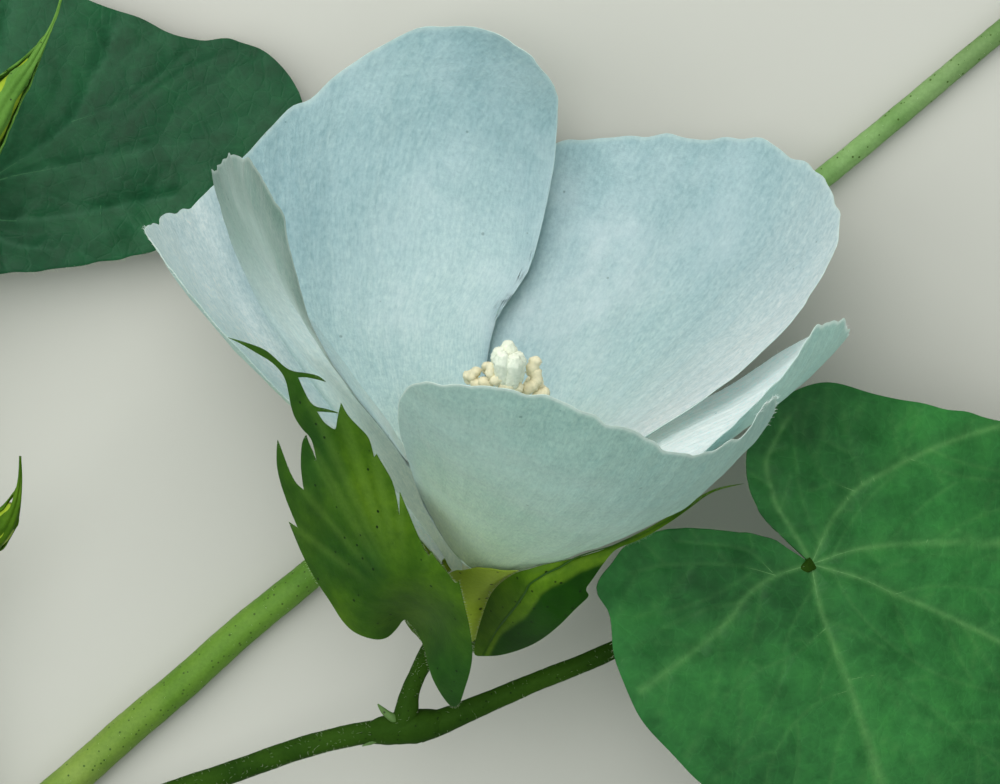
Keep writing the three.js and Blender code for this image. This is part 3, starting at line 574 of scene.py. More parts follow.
def petal(name, seed):
    ns, nt = ((181, 121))
    a = np.linspace(-1, 1, ns)
    s1 = 0.988 * np.sin(np.pi / 2 * a) * 0.5 + 0.988 * a * 0.5
    t1 = np.linspace(0.012, 1, nt)
    s, t = np.meshgrid(s1, t1, indexing="ij")
    r = np.random.RandomState(seed)
    rv = np.ones_like(s1)
    for k, amp in ((3, 0.0015), (5, 0.002), (9, 0.0035), (15, 0.0035), (27, 0.0025), (43, 0.0015)):
        rv = rv + amp * np.sin(k * 1.9 * s1 + r.uniform(0, 6.28)) * np.clip((1 - np.abs(s1)) / 0.35, 0, 1)
    P, tt = petal_points(name, s, t, rv[:, None])
    n = unit(np.cross(np.gradient(P, axis=0), np.gradient(P, axis=1)))
    # gentle crimps at the rim, fan-shaped vein ridges and soft puckers
    crimp = np.zeros_like(s)
    for k, amp in ((4, 0.12), (7, 0.10), (11, 0.07), (19, 0.04)):
        crimp = crimp + amp * np.sin(k * s * 1.7 + r.uniform(0, 6.28) + 0.6 * np.sin(3 * t))
    rimness = t ** 7 * np.clip((1 - np.abs(s)) / 0.3, 0, 1)
    fan = np.zeros_like(s)
    for k, amp, t_lo in ((13, 0.035, 0.0), (27, 0.028, 0.25), (55, 0.016, 0.5)):
        fan = fan + amp * np.cos(2 * np.pi * k * (s * 0.5 + 0.012 * np.sin(7 * t + k))) * np.clip((t - t_lo) / 0.25, 0, 1)
    pucker = waves(seed + 3, 9, 5, 11)(P) * 0.10 + waves(seed + 5, 9, 2.0, 4.0)(P) * 0.022
    edge = np.clip((1 - np.abs(s)) / 0.2, 0.25, 1)
    P = P + n * (crimp * rimness + (fan + pucker) * np.clip(t * 2, 0, 1) * edge)[..., None]
    n = unit(np.cross(np.gradient(P, axis=0), np.gradient(P, axis=1)))
    half = 0.03 + 0.10 * np.clip((1 - t) / 0.12, 0, 1) * np.clip((1 - np.abs(s)) / 0.12, 0, 1) + 0.14 * np.exp(-t / 0.14)
    v, f, side = shell(P, half, n)
    # the inner face looks at the axis
    c = P[ns // 2, nt // 2]
    radial = c - (foot + axis * (c - foot).dot(axis))
    if n[ns // 2, nt // 2].dot(radial) > 0:
        side = 1 - side
    uv = np.stack([s * 0.5 + 0.5, t], -1).reshape(-1, 2)
    uv = np.vstack([uv, uv])
    f = orient(v, f)
    piece(name.replace("petal", "corolla"), v, f, FACES.get(name, ["petal_in", "petal_out"]), name, side, uv)
    return P, s, t, n


def orient(v, f):
    """turn faces outward if the closed mesh is inside out"""
    f = np.asarray(f)
    a, b, c = v[f[:, 0]], v[f[:, 1]], v[f[:, 2]]
    vol = np.einsum("ij,ij->i", a, np.cross(b, c)).sum()
    if f.shape[1] == 4:
        d = v[f[:, 3]]
        vol += np.einsum("ij,ij->i", a, np.cross(c, d)).sum()
    return f[:, ::-1] if vol < 0 else f


def hairs(bag, roots, dirs, length, r, seed, m=0, lean=0.35):
    """short tapering hairs as thin three-sided spikes"""
    rs = np.random.RandomState(seed)
    for p, d in zip(roots, dirs):
        d = unit(d + lean * rs.normal(size=3))
        L = length * rs.uniform(0.6, 1.25)
        x = unit(np.cross(d, [0.3, 0.5, 0.8]))
        y = np.cross(d, x)
        bend = x * L * 0.15 * rs.normal()
        a = [p + r * (math.cos(q) * x + math.sin(q) * y) for q in (0, 2.094, 4.189)]
        mid = [p + d * L * 0.55 + bend * 0.5 + 0.6 * r * (math.cos(q) * x + math.sin(q) * y) for q in (0, 2.094, 4.189)]
        tip = p + d * L + bend
        bag.add(a + mid + [tip], [(0, 1, 4, 3), (1, 2, 5, 4), (2, 0, 3, 5), (3, 4, 6), (4, 5, 6), (5, 3, 6), (0, 2, 1)], m)


petals = {}
for k, name in enumerate(PETALS):
    petals[name] = petal(name, 11 + 7 * k)

# the outer margins of the petals carry a fringe of fine hairs
fringe = Bag()
for name, hi in (("petal_back_left", True), ("petal_right", True), ("petal_back_right", True), ("petal_front", True)):
    P, s, t, n = petals[name]
    E = P[-1] if hi else P[0]
    inward = P[-4] if hi else P[3]
    q = smooth_path(E[len(E) // 6:], 260)
    out = unit(np.gradient(q, axis=0))
    rim_dir = unit(E[-1] - P[P.shape[0] // 2, P.shape[1] // 2])
    side_dir = np.cross(out, n[-1, len(E) // 2])
    if side_dir[130].dot(E[len(E) // 2] - P[P.shape[0] // 2, len(E) // 2]) < 0:
        side_dir = -side_dir
    hairs(fringe, q[::2], side_dir[::2], 0.45, 0.022, 5)
    rim = P[int(P.shape[0] * 0.72):, -1]
    q = smooth_path(rim, 300)
    tdir = unit(P[-8, -1] - P[-8, -6])
    hairs(fringe, q[::2], np.repeat(tdir[None], 150, 0), 0.48, 0.024, 6, 0, 0.5)
fringe.done("petal_margin_hairs", ["down"], "petal")


# ------------------------------------------------------------------ stems (the same paths as in the part, grown together at the joints)
def stem_bag(bag, path, radii, seed, sides=26, step=0.55, ridges=5, m=0, absolute=False, rough_amp=0.03):
    ctrl = np.array([at(u, v, h if absolute else GROUND + h) for u, v, h in path])
    length = np.linalg.norm(np.diff(ctrl, axis=0), axis=1).sum()
    n = max(8, int(length / (step * 1)))
    c = smooth_path(ctrl, n)
    wob = waves(seed, 6, 9, 26)
    c = c + 0.10 * np.stack([wob(c), wob(c + 40), wob(c + 90)], -1) * np.sin(np.linspace(0, np.pi, n))[:, None]
    rs = np.random.RandomState(seed)
    ph = rs.uniform(0, 6.28, 4)

    def relief(i, a):
        return (rough_amp * np.cos(ridges * a + ph[0] + 2.5 * i) + 0.6 * rough_amp * np.cos(2 * a + ph[1] + 5 * i)
                + 0.5 * rough_amp * np.sin(i * length * 1.3 + ph[2]) + 0.35 * rough_amp * np.sin(i * length * 4.1 + 3 * a + ph[3]))
    v, f, nn, bb, d = tube(c, radii, sides, relief)
    bag.add(v, f, m)
    r = np.interp(np.linspace(0, 1, n), np.linspace(0, 1, len(radii)), radii)
    return c, r, nn, bb, d


def stem_hairs(bag, c, r, nn, bb, d, count, seed, length=0.55, m=0):
    rs = np.random.RandomState(seed)
    i = rs.uniform(1, len(c) - 2, count).astype(int)
    a = rs.uniform(0, 6.283, count)
    out = np.cos(a)[:, None] * nn[i] + np.sin(a)[:, None] * bb[i]
    roots = c[i] + out * (r[i] - 0.03)[:, None]
    hairs(bag, roots, out, length, 0.011, seed + 1, m, 0.3)


fuzz = Bag()

b = Bag()
g = stem_bag(b, [[-75, 905, 2.0], [66, 784, 1.95], [311, 574, 1.65], [566, 376, 1.45], [822, 178, 1.25], [1062, -20, 1.1]],
             [2.0, 1.9, 1.6, 1.4, 1.22, 1.1], 3, 30, 0.6, 6)
b.done("main_stem_grown", ["stem"], "stem", "main_stem")
stem_hairs(fuzz, *g, 380, 31, 0.35)

# fruiting branch with the swollen node that bears the leaf and the flower
b = Bag()
g = stem_bag(b, [[-24, 868, 1.9], [-6, 856, 3.9], [18, 843, 5.6], [60, 830, 7.0], [196, 784, 12.1], [300, 748.5, 17.2], [350, 735.5, 19.0], [392, 728.5, 20.1]],
             [1.5, 1.35, 1.27, 1.24, 1.22, 1.2, 1.18, 1.22], 5, 28, 0.5, 5)
stem_hairs(fuzz, *g, 700, 33, 0.62)
stem_bag(b, [[366, 733.5, 19.5], [384, 730.5, 20.0], [400, 728, 20.4], [415, 726.5, 20.6], [430, 723.5, 20.6], [446, 718, 20.6]],
         [1.0, 1.45, 1.72, 1.86, 1.62, 1.0], 6, 28, 0.3, 4, rough_amp=0.05)
b.done("fruiting_branch_grown", ["branch"], "stem", "fruiting_branch")

b = Bag()
g = stem_bag(b, [[404, 728, 20.6], [407, 712, 21.3], [411, 692, 21.4], [419, 672, 22.0], [428, 655, 23.0], [438, 643, 24.2], [443, 634, 25.2]],
             [1.5, 1.32, 1.02, .95, 1.0, 1.25, 1.6], 7, 26, 0.35, 5)
stem_hairs(fuzz, *g, 130, 35, 0.5)
b.done("pedicel_grown", ["branch"], "stem", "pedicel")

b = Bag()
g = stem_bag(b, [[418, 729, 20.4], [440, 722, 20.4], [492, 700, 21.4], [600, 655, 24.2], [700, 612, 26.2], [780, 577, 27.2], [806, 566.4, 27.9], [812, 564, 28.4]],
             [1.55, 1.2, 1.03, .97, .93, .9, 1.05, 0.7], 8, 26, 0.5, 5)
stem_hairs(fuzz, *g, 330, 37, 0.5)
b.done("petiole_right_grown", ["branch"], "stem", "petiole_right")

b = Bag()
g = stem_bag(b, [[-32, 868, 1.9], [-32, 848, 2.7], [-35, 824, 3.6], [-54, 700, 5.6], [-70, 520, 7.0], [-75, 380, 7.3], [-76, 343, 7.4]],
             [1.5, 1.3, 1.2, 1.12, 1.05, 1.02, 1.1], 9, 24, 0.6, 5)
stem_hairs(fuzz, *g, 240, 39, 0.5)
stem_bag(b, [[-75, 362, 7.3], [-76, 348, 7.7], [-76, 338, 7.8], [-74, 326, 7.6]], [0.95, 1.5, 1.5, 0.8], 10, 24, 0.3, 4, rough_amp=0.05)
stem_bag(b, [[-61, 668, 6.0], [-62, 652, 6.5], [-62, 640, 6.8], [-63, 626, 6.7]], [0.95, 1.4, 1.4, 0.9], 11, 24, 0.3, 4, rough_amp=0.05)
# a small resting bud in the angle of the upper leaf stalk
stem_bag(b, [[-80, 340, 8.6], [-88, 331, 9.2], [-90, 322, 9.5]], [0.5, 0.7, 0.12], 12, 16, 0.25, 4)
b.done("branch_left_grown", ["stem"], "stem", "branch_left")

b = Bag()
g = stem_bag(b, [[-76, 344, 7.6], [-72, 326, 6.8], [-64, 275, 5.4], [-52, 222, 5.9], [-45, 205, 7.1]], [1.15, .9, .8, .74, .6], 13, 22, 0.5, 5)
stem_hairs(fuzz, *g, 120, 41, 0.45)
b.done("petiole_left_grown", ["stem"], "stem", "petiole_left")

b = Bag()
g = stem_bag(b, [[-62, 645, 7.0], [-63, 632, 9.6], [-64, 618, 12.0], [-61, 602, 14.8], [-58, 592, 16.2]], [1.05, .8, .75, .85, 1.0], 14, 22, 0.4, 5)
stem_hairs(fuzz, *g, 70, 43, 0.4)
b.done("bud_stalk_left_grown", ["stem"], "stem", "bud_stalk_left")
b = Bag()
g = stem_bag(b, [[-77, 343, 7.8], [-82, 330, 10.0], [-84, 290, 12.2], [-70, 246, 13.6], [-62, 232, 14.2]], [1.05, .8, .75, .85, 1.0], 15, 22, 0.4, 5)
stem_hairs(fuzz, *g, 90, 45, 0.4)
b.done("bud_stalk_upper_grown", ["stem"], "stem", "bud_stalk_upper")

# pale scars and tiny stipules at the node
b = Bag()
stem_bag(b, [[399, 722, 21.3], [392, 717.5, 21.6], [384, 711.5, 21.5], [378, 704, 21.0]], [0.42, 0.50, 0.36, 0.05], 16, 14, 0.15, 3)
stem_bag(b, [[376, 740, 20.2], [370, 743.5, 20.1], [362, 746, 19.8]], [0.32, 0.26, 0.04], 17, 12, 0.15, 3)
b.done("stipule_scars", ["scar"], "stem")
fuzz.done("stem_hairs", ["hair"], "stem")


# ------------------------------------------------------------------ leaves
def densify(ctrl, step=2.0):
    c = np.asarray(ctrl, float)
    n = max(8, int(np.linalg.norm(np.diff(c, axis=0), axis=1).sum() / step))
    return smooth_path(c, n)


def near(lines, U, V):
    """distance in layout units from each (U, V) to the nearest line point"""
    q = np.vstack(lines)
    out = np.full(U.size, 1e9)
    u, v = U.ravel(), V.ravel()
    for k in range(0, len(q), 64):
        w = q[k:k + 64]
        out = np.minimum(out, ((u[:, None] - w[:, 0]) ** 2 + (v[:, None] - w[:, 1]) ** 2).min(1))
    return np.sqrt(out).reshape(U.shape)


def side_veins(lines, inside, seed, first, step, angle, arch, limit):
    """finer veins that leave each line in turn on both sides and arch towards the margin"""
    rs = np.random.RandomState(seed)
    made = []
    for line in lines:
        s = np.r_[0, np.cumsum(np.linalg.norm(np.diff(line, axis=0), axis=1))]
        pos, side = first * rs.uniform(0.8, 1.2), rs.choice([-1, 1])
        while pos < s[-1] * 0.94:
            p = np.array([np.interp(pos, s, line[:, i]) for i in (0, 1)])
            q = np.array([np.interp(min(pos + 4, s[-1]), s, line[:, i]) for i in (0, 1)])
            ang = math.atan2(*(q - p)[::-1]) + side * math.radians(angle + rs.uniform(-5, 5))
            rest = [l for l in lines + made if l is not line]
            others = np.vstack(rest) if rest else np.zeros((1, 2)) - 1e4
            pts = [p]
            for k in range(140):
                ang -= side * arch * (0.6 + 0.8 * rs.rand())
                p = p + 2.5 * np.array([math.cos(ang), math.sin(ang)])
                if not inside(p) or (k > 3 and np.min(np.hypot(*(others - p).T)) < limit):
                    break
                pts.append(p)
            if len(pts) > 5:
                made.append(np.array(pts))
            pos += step * rs.uniform(0.8, 1.25)
            side = -side
    return made


LEAF_K = 0.106


def leaf(name, fu, fv, reach, height, primary, secondary, r_prim, na, nr, seed, mats, vein_mat, puck):
    edge = smooth_path(reach, na)
    rs = np.random.RandomState(seed)
    wav = waves(seed, 6, 6, 18, 1)
    arc = np.arange(na)[:, None] * 0.9
    er = edge[:, 1] + 1.1 * wav(arc)
    ea = np.radians(edge[:, 0])
    order = np.argsort(edge[:, 0])

    def inside(p, share=0.975):
        dx, dy = p[0] - fu, fv - p[1]
        a = math.degrees(math.atan2(dy, dx))
        lo, hi = edge[order[0], 0], edge[order[-1], 0]
        for c in (a, a - 360, a + 360):
            if lo <= c <= hi:
                return math.hypot(dx, dy) < share * np.interp(c, edge[order, 0], edge[order, 1])
        return False

    prim = [densify(l) for l in primary]
    sec = [densify(l) for l in secondary]
    ter = side_veins(prim + sec, inside, seed + 1, 26, 30, 50, 0.012, 7)
    fine = side_veins(ter, inside, seed + 2, 12, 17, 62, 0.0, 5)

    def lift(U, V):
        dx, dy = (U - fu) * LEAF_K, (fv - V) * LEAF_K
        z = GROUND + height(dx, dy)
        dp = near(prim, U, V)
        ds = near(sec + ter, U, V) if sec + ter else dp
        rr = np.hypot(dx, dy)
        z = z - 0.30 * np.exp(-(dp / 9) ** 2) - 0.10 * np.exp(-(ds / 5) ** 2)
        q = np.stack([dx, dy], -1)
        z = z + np.clip(rr / 6, 0, 1) * (puck * waves(seed + 4, 9, 7, 14, 2)(q) + 0.3 * puck * waves(seed + 5, 9, 2.5, 5, 2)(q))
        z = z + 0.5 * np.exp(-(rr / 2.0) ** 2) * -0.6
        return at(U, V, z), dp, ds

    f = (np.linspace(0.0, 1, nr) ** 0.85) * 0.997 + 0.003
    R = er[:, None] * f[None]
    U, V = fu + R * np.cos(ea)[:, None], fv - R * np.sin(ea)[:, None]
    P, dp, ds = lift(U, V)
    half = np.full(P.shape[:2], 0.15) - 0.07 * np.clip((f - 0.97) / 0.03, 0, 1)[None]
    nrm = unit(np.cross(np.gradient(P, axis=0), np.gradient(P, axis=1)))
    nrm = np.where((nrm[..., 2] < 0)[..., None], -nrm, nrm)
    v, faces, side = shell(P, half, nrm)
    n0 = len(v)
    faces = orient(v, faces)
    ob = piece(name + "_blade", v, faces, mats, name, side)
    att = ob.data.attributes.new("vein", "FLOAT_COLOR", "POINT")
    w = np.clip(0.34 * np.exp(-(dp / 3.2) ** 2) + 0.06 * np.exp(-(dp / 12) ** 2) + 0.12 * np.exp(-(ds / 2.2) ** 2), 0, 1).ravel()
    tone = np.clip(0.5 + 0.5 * waves(seed + 9, 5, 160, 420, 2)(np.stack([U, V], -1)), 0, 1).ravel()
    att.data.foreach_set("color", np.tile(np.stack([w, tone, w * 0, w * 0 + 1], -1), (2, 1)).astype(np.float32).ravel())
    bag = Bag()
    for lines, r0, r1, step, dz in ((prim, r_prim, 0.10, 2, -0.10), (sec, 0.20, 0.07, 2, -0.03), (ter, 0.13, 0.05, 2, 0.02), (fine, 0.075, 0.035, 3, 0.07)):
        for l in lines:
            l = l[::step] if len(l) > 2 * step + 4 else l
            Q, _, _ = lift(l[:, 0], l[:, 1])
            Q = Q + [0, 0, dz]
            length = np.linalg.norm(np.diff(Q, axis=0), axis=1).sum()
            ra = r0 * min(1, 0.35 + length / 30) if lines is prim else r0 * min(1, 0.45 + length / 14)
            vv, ff, *_ = tube(Q, [ra, ra * 0.85, (ra + r1) * 0.5, r1 * 0.7], 8 if lines is prim else 6)
            bag.add(vv, ff)
    bag.done(name + "_veins", [vein_mat], "leaf")
    E = np.vstack([P[:, -1]])
    hb = Bag()
    out = unit(P[:, -1] - P[:, -3])
    k = np.repeat(np.arange(6, na - 6), 2)
    hairs(hb, E[k] + rs.uniform(-0.08, 0.08, (len(k), 3)) * [1, 1, 0.3], out[k] + [0, 0, 0.25], 0.5, 0.013, seed + 7, 0, 0.4)
    return hb


REACH_R = [[136.5, 62], [132, 86], [126, 109], [118, 133], [108, 150], [97, 174], [86, 181], [69, 182], [54, 197], [37, 238], [22, 312], [10, 345],
           [-4, 343], [-17, 395], [-28, 455], [-40, 405], [-54, 348], [-68, 347], [-79, 343], [-92, 300], [-105, 266], [-122, 239], [-140, 228],
           [-155, 217], [-166, 207], [-173, 217], [-180, 200], [-188, 178], [-195, 138], [-202, 88], [-214, 42]]
REACH_L = [[168, 118], [150, 172], [130, 205], [110, 228], [90, 240], [72, 243], [56.6, 245], [44.5, 264], [36, 284], [30.5, 325], [25, 349],
           [16.4, 364], [7, 345], [-2, 290], [-8, 238], [-14.3, 196], [-22, 154], [-30, 126], [-42, 100], [-57, 82], [-80, 76], [-100, 84],
           [-122, 96], [-142, 84]]
O = (811, 564)
prim_r = [
    [O, (862, 579), (894, 594), (933, 610), (1000, 642), (1090, 690), (1190, 760)],
    [O, (854, 550), (907, 544), (1000, 543), (1080, 548), (1140, 556)],
    [O, (833, 518), (857, 489), (888, 470), (920, 454), (960, 438), (1020, 420), (1070, 408)],
    [O, (820, 608), (841, 666), (857, 711), (878, 780), (884, 850), (880, 895)],
    [O, (775, 576), (748, 594), (730, 618), (701, 645), (669, 668), (640, 690)],
    [O, (791, 528), (777, 507), (770, 483), (766, 462), (775, 441), (788, 418)],
]
sec_r = [
    [(854, 491), (826, 478), (812, 455), (803, 431), (806, 414), (813, 402)],
    [(862, 484), (852, 452), (845, 423), (842, 404)],
    [(903, 461), (896, 442), (890, 415)],
    [(846, 680), (880, 676), (915, 697), (960, 732), (1000, 766), (1050, 812)],
    [(849, 690), (818, 702), (790, 728), (772, 760), (764, 790)],
    [(775, 575), (745, 567), (717, 564), (680, 564), (651, 567), (628, 574)],
    [(772, 572), (748, 551), (709, 544), (676, 541)],
    [(826, 628), (794, 654), (756, 672), (722, 698)],
    [(894, 594), (932, 586), (985, 590), (1050, 606)],
    [(960, 622), (985, 660), (1022, 712)],
    [(1040, 664), (1086, 662), (1130, 680)],
    [(930, 544), (966, 522), (1010, 506), (1060, 498)],
    [(910, 459), (950, 474), (1002, 482)],
]
M["leaf"] = leaf_blade_material("leaf_upper", (0.014, 0.105, 0.022), (0.030, 0.190, 0.038), (0.15, 0.36, 0.11))
# leaf_far_shaded: a darker copy of the leaf colours, as painted shade on the leaf lying farther back
M["leaf_far_shaded"] = leaf_blade_material("leaf_far_shaded", (0.004, 0.060, 0.021), (0.009, 0.088, 0.030), (0.028, 0.13, 0.06))

hb = leaf("leaf_right", 811, 564, REACH_R,
          lambda dx, dy: 28.6 - 0.25 * dx - np.where(dx > 0, 0.0086 * dx * dx, 0) + 0.03 * dy - 0.0022 * dy * dy,
          prim_r, sec_r, 0.27, 400, 90, 61, ["leaf", "leaf_under"], "vein", 0.16)
hb.done("leaf_right_hairs", ["hair"], "leaf")
O = (-45, 205)
prim_l = [
    [O, (0, 173), (41, 147), (71, 122), (92, 82), (108, 50), (116, 24)],
    [O, (0, 180), (51, 169), (122, 155), (204, 138), (262, 112)],
    [O, (0, 220), (51, 218), (122, 206), (176, 196)],
    [O, (-38, 160), (-20, 110), (0, 60), (14, 6), (22, -20)],
    [O, (-70, 170), (-92, 120), (-104, 60), (-102, 0)],
    [O, (-80, 190), (-120, 160), (-165, 132)],
    [O, (-20, 225), (10, 244), (48, 250)],
]
sec_l = [
    [(71, 122), (110, 108), (150, 82), (186, 52)],
    [(122, 155), (165, 158), (210, 170)],
    [(20, 160), (22, 120), (40, 80), (52, 40)],
]
hb = leaf("leaf_left", -45, 205, REACH_L,
          lambda dx, dy: 7.4 - 0.12 * dx - 0.03 * dy - 0.0012 * dy * dy + 0.0009 * dx * dx,
          prim_l, sec_l, 0.30, 280, 66, 81, ["leaf_far_shaded", "leaf_under"], "vein_far_shaded", 0.14)
hb.done("leaf_left_hairs", ["hair"], "leaf")


# ------------------------------------------------------------------ bracts
def round_outline(pts, sharp=75, rounds=3):
    """cuts the corners of an outline a few times but leaves its teeth pointed"""
    p = np.asarray(pts, float)
    keep = np.zeros(len(p), bool)
    a, b = unit(np.roll(p, 1, 0) - p), unit(np.roll(p, -1, 0) - p)
    ang = np.degrees(np.arccos(np.clip((a * b).sum(1), -1, 1)))
    keep[ang < sharp] = True
    for _ in range(rounds):
        q, k = [], []
        n = len(p)
        for i in range(n):
            if keep[i]:
                q.append(p[i]); k.append(True)
            else:
                q.append(p[i] * 0.75 + p[i - 1] * 0.25); k.append(False)
                q.append(p[i] * 0.75 + p[(i + 1) % n] * 0.25); k.append(False)
        p, keep = np.array(q), np.array(k)
    return p, keep


def in_poly(poly, u, v):
    x0, y0 = poly[:, 0], poly[:, 1]
    x1, y1 = np.roll(x0, -1), np.roll(y0, -1)
    u, v = u[:, None], v[:, None]
    c = ((y0 > v) != (y1 > v)) & (u < (x1 - x0) * (v - y0) / np.where(y1 == y0, 1e-9, y1 - y0) + x0)
    return c.sum(1) % 2 == 1


def bract(name, outline, height, base, mats, seed, node=None, spacing=3.2, t=0.2, puck=0.10, share=0.9, bend=0.0, shade=None, ridge=0.05):
    poly, tips = round_outline(outline)
    # even out the outline points
    ring = [poly[0]]
    for i in range(1, len(poly) + 1):
        p = poly[i % len(poly)]
        d = np.linalg.norm(p - ring[-1])
        k = int(d // spacing)
        for j in range(1, k + 1):
            ring.append(ring[-1] + (p - ring[-1]) * (1.0 / (k + 1 - (j - 1))))
        if i < len(poly):
            ring.append(p)
    ring = np.array(ring)
    lo, hi = ring.min(0), ring.max(0)
    sp = spacing * 1
    gu, gv = np.meshgrid(np.arange(lo[0], hi[0], sp), np.arange(lo[1], hi[1], sp * 0.866))
    gu = gu + (np.arange(gu.shape[0]) % 2)[:, None] * sp / 2
    cand = np.stack([gu.ravel(), gv.ravel()], -1)
    cand = cand[in_poly(ring, cand[:, 0], cand[:, 1])]
    d = near([ring], cand[:, 0], cand[:, 1])
    cand = cand[d > sp * 0.6]
    pts = np.vstack([ring, cand])
    edges = [(i, (i + 1) % len(ring)) for i in range(len(ring))]
    vo, eo, fo, *_ = geometry.delaunay_2d_cdt([Vector(p) for p in pts], edges, [], 0, 1e-4)
    uv = np.array([list(x) for x in vo])
    tri = np.array(fo)
    cen = uv[tri].mean(1)
    tri = tri[in_poly(ring, cen[:, 0], cen[:, 1])]
    wv = waves(seed, 8, 5, 12, 2)
    base = np.array(base, float)
    # veins run from the foot of the bract to its teeth, and between them
    tip_pts = poly[tips]
    tip_pts = tip_pts[np.linalg.norm(tip_pts - base, axis=1) > 45]
    lines = []
    for k, q in enumerate(tip_pts):
        m = (base + q) / 2 + bend * np.array([(q - base)[1], -(q - base)[0]])
        l = densify([base, (base * 0.6 + m * 0.4), m, m * 0.45 + q * 0.55, q], 3)
        ok = in_poly(ring, l[:, 0], l[:, 1])
        if ok.mean() > share:
            lines.append(l[ok])

    def lift(U, V):
        z = height(U, V)
        q = np.stack([U, V], -1) * 0.105
        z = z + puck * wv(q)
        if lines:
            z = z + ridge * np.exp(-(near(lines, U, V) / 4.0) ** 2)
        return at(U, V, z)
    mid = lift(uv[:, 0], uv[:, 1])
    du = lift(uv[:, 0] + 1, uv[:, 1]) - lift(uv[:, 0] - 1, uv[:, 1])
    dv = lift(uv[:, 0], uv[:, 1] - 1) - lift(uv[:, 0], uv[:, 1] + 1)
    nrm = unit(np.cross(du, dv))
    edge_d = near([ring], uv[:, 0], uv[:, 1])
    half = (t / 2 * np.clip(0.35 + edge_d / 10, 0, 1))[:, None]
    v = np.vstack([mid + nrm * half, mid - nrm * half])
    n = len(uv)
    a, b2, c = uv[tri[:, 0]], uv[tri[:, 1]], uv[tri[:, 2]]
    up = (b2[:, 0] - a[:, 0]) * -(c[:, 1] - a[:, 1]) + (b2[:, 1] - a[:, 1]) * (c[:, 0] - a[:, 0])
    tri = np.where((up < 0)[:, None], tri[:, ::-1], tri)
    used = {}
    for x, y, z in tri:
        for e in ((x, y), (y, z), (z, x)):
            used[e] = used.get(e, 0) + 1
    wall = [(i, i + n, j + n, j) for (i, j) in used if (j, i) not in used]
    faces = [tuple(x) for x in tri] + [tuple(x[::-1] + n) for x in tri] + [(w[0], w[1], w[2], w[3]) for w in wall]
    fm = [0] * len(tri) + [1] * len(tri) + [0] * len(wall)
    ob = piece(name + "_blade", v, faces, mats, node, fm)
    att = ob.data.attributes.new("vein", "FLOAT_COLOR", "POINT")
    rb = np.hypot(uv[:, 0] - base[0], uv[:, 1] - base[1])
    w = np.clip(0.24 * np.exp(-(near(lines, uv[:, 0], uv[:, 1]) / 3.6) ** 2) * np.clip((rb - 30) / 60, 0, 1), 0, 1) if lines and ridge else np.zeros(n)
    tone = np.clip(0.5 + 0.5 * waves(seed + 9, 5, 60, 200, 2)(uv), 0, 1)
    # the blue channel carries the painted shade mask
    dark = shade(uv[:, 0], uv[:, 1]) if shade else w * 0
    att.data.foreach_set("color", np.tile(np.stack([w, tone, dark, w * 0 + 1], -1), (2, 1)).astype(np.float32).ravel())
    bag = Bag()
    for l in lines:
        l = l[len(l) // 3:]
        Q = lift(l[:, 0], l[:, 1])
        vv, ff, *_ = tube(Q + [0, 0, -0.02], [0.03, 0.085, 0.07, 0.05, 0.03], 6)
        bag.add(vv, ff)
    hb = Bag()
    E = lift(ring[:, 0], ring[:, 1])
    cc = E.mean(0)
    tang = unit(np.roll(E, -1, 0) - np.roll(E, 1, 0))
    out = unit(np.cross(tang, [0, 0, 1.0]))
    test = np.stack([E[:, 0] + out[:, 0] * 0.4, E[:, 1] + out[:, 1] * 0.4], -1)
    k = (D0 - E[:, 2]) / F0
    inside_now = in_poly(ring, test[:, 0] / k + 500, 392 - test[:, 1] / k)
    out = np.where(inside_now[:, None], -out, out)
    hairs(hb, E, out, 0.32, 0.013, seed + 3, 1, 0.4)
    base_n = bag.n
    if hb.n:
        bag.v += hb.v
        bag.f += [tuple(i + base_n for i in q) for q in hb.f]
        bag.m += hb.m
        bag.n += hb.n
    bag.done(name + "_veins", ["bract_vein", "hair"], "bract")
    return lift


BL = [[404, 618], [397, 628.5], [387, 638.5], [374.6, 640], [355, 633.5], [342, 621], [332, 604], [315, 579], [301, 552], [289, 522], [298, 528],
      [285, 497], [277, 470], [276.6, 451], [277.7, 440], [283, 453.6], [288.4, 469], [296, 484], [304, 490], [301, 470], [301, 456], [302, 442],
      [306, 434.6], [308, 441], [313, 452], [317, 462], [314, 446], [310, 436], [304, 431], [296, 420], [291.7, 409], [288.4, 391], [286, 380],
      [281, 371], [271, 361], [256, 352.5], [241, 343.5], [228, 337.5], [238, 340.2], [252, 344.5], [266, 350], [277, 360], [286, 368.5], [295, 372],
      [305, 372.8], [318.5, 375.5], [326, 382], [318, 379.5], [305, 376.8], [298, 377.5], [303, 389], [309, 401], [315, 407], [327, 408.8],
      [340, 413.4], [327.5, 411.9], [317, 411.5], [323, 422], [332, 428.5], [336, 430], [337.5, 418], [341, 403], [347.5, 415.6], [358.7, 427],
      [367.6, 435.7], [371, 444], [374, 457], [376.5, 454], [385.5, 469], [393, 482], [397, 500], [399.5, 517], [399.8, 492], [407, 509], [414, 526.5],
      [424, 549], [429, 556], [431, 551], [436, 559], [449, 574], [455, 584], [459, 581], [462, 594], [464, 604], [470, 628.5], [473, 653],
      [470, 673], [464, 691], [460, 704], [452, 708], [442, 696], [432, 678], [428, 663], [424, 646], [417, 631], [409.5, 622]]


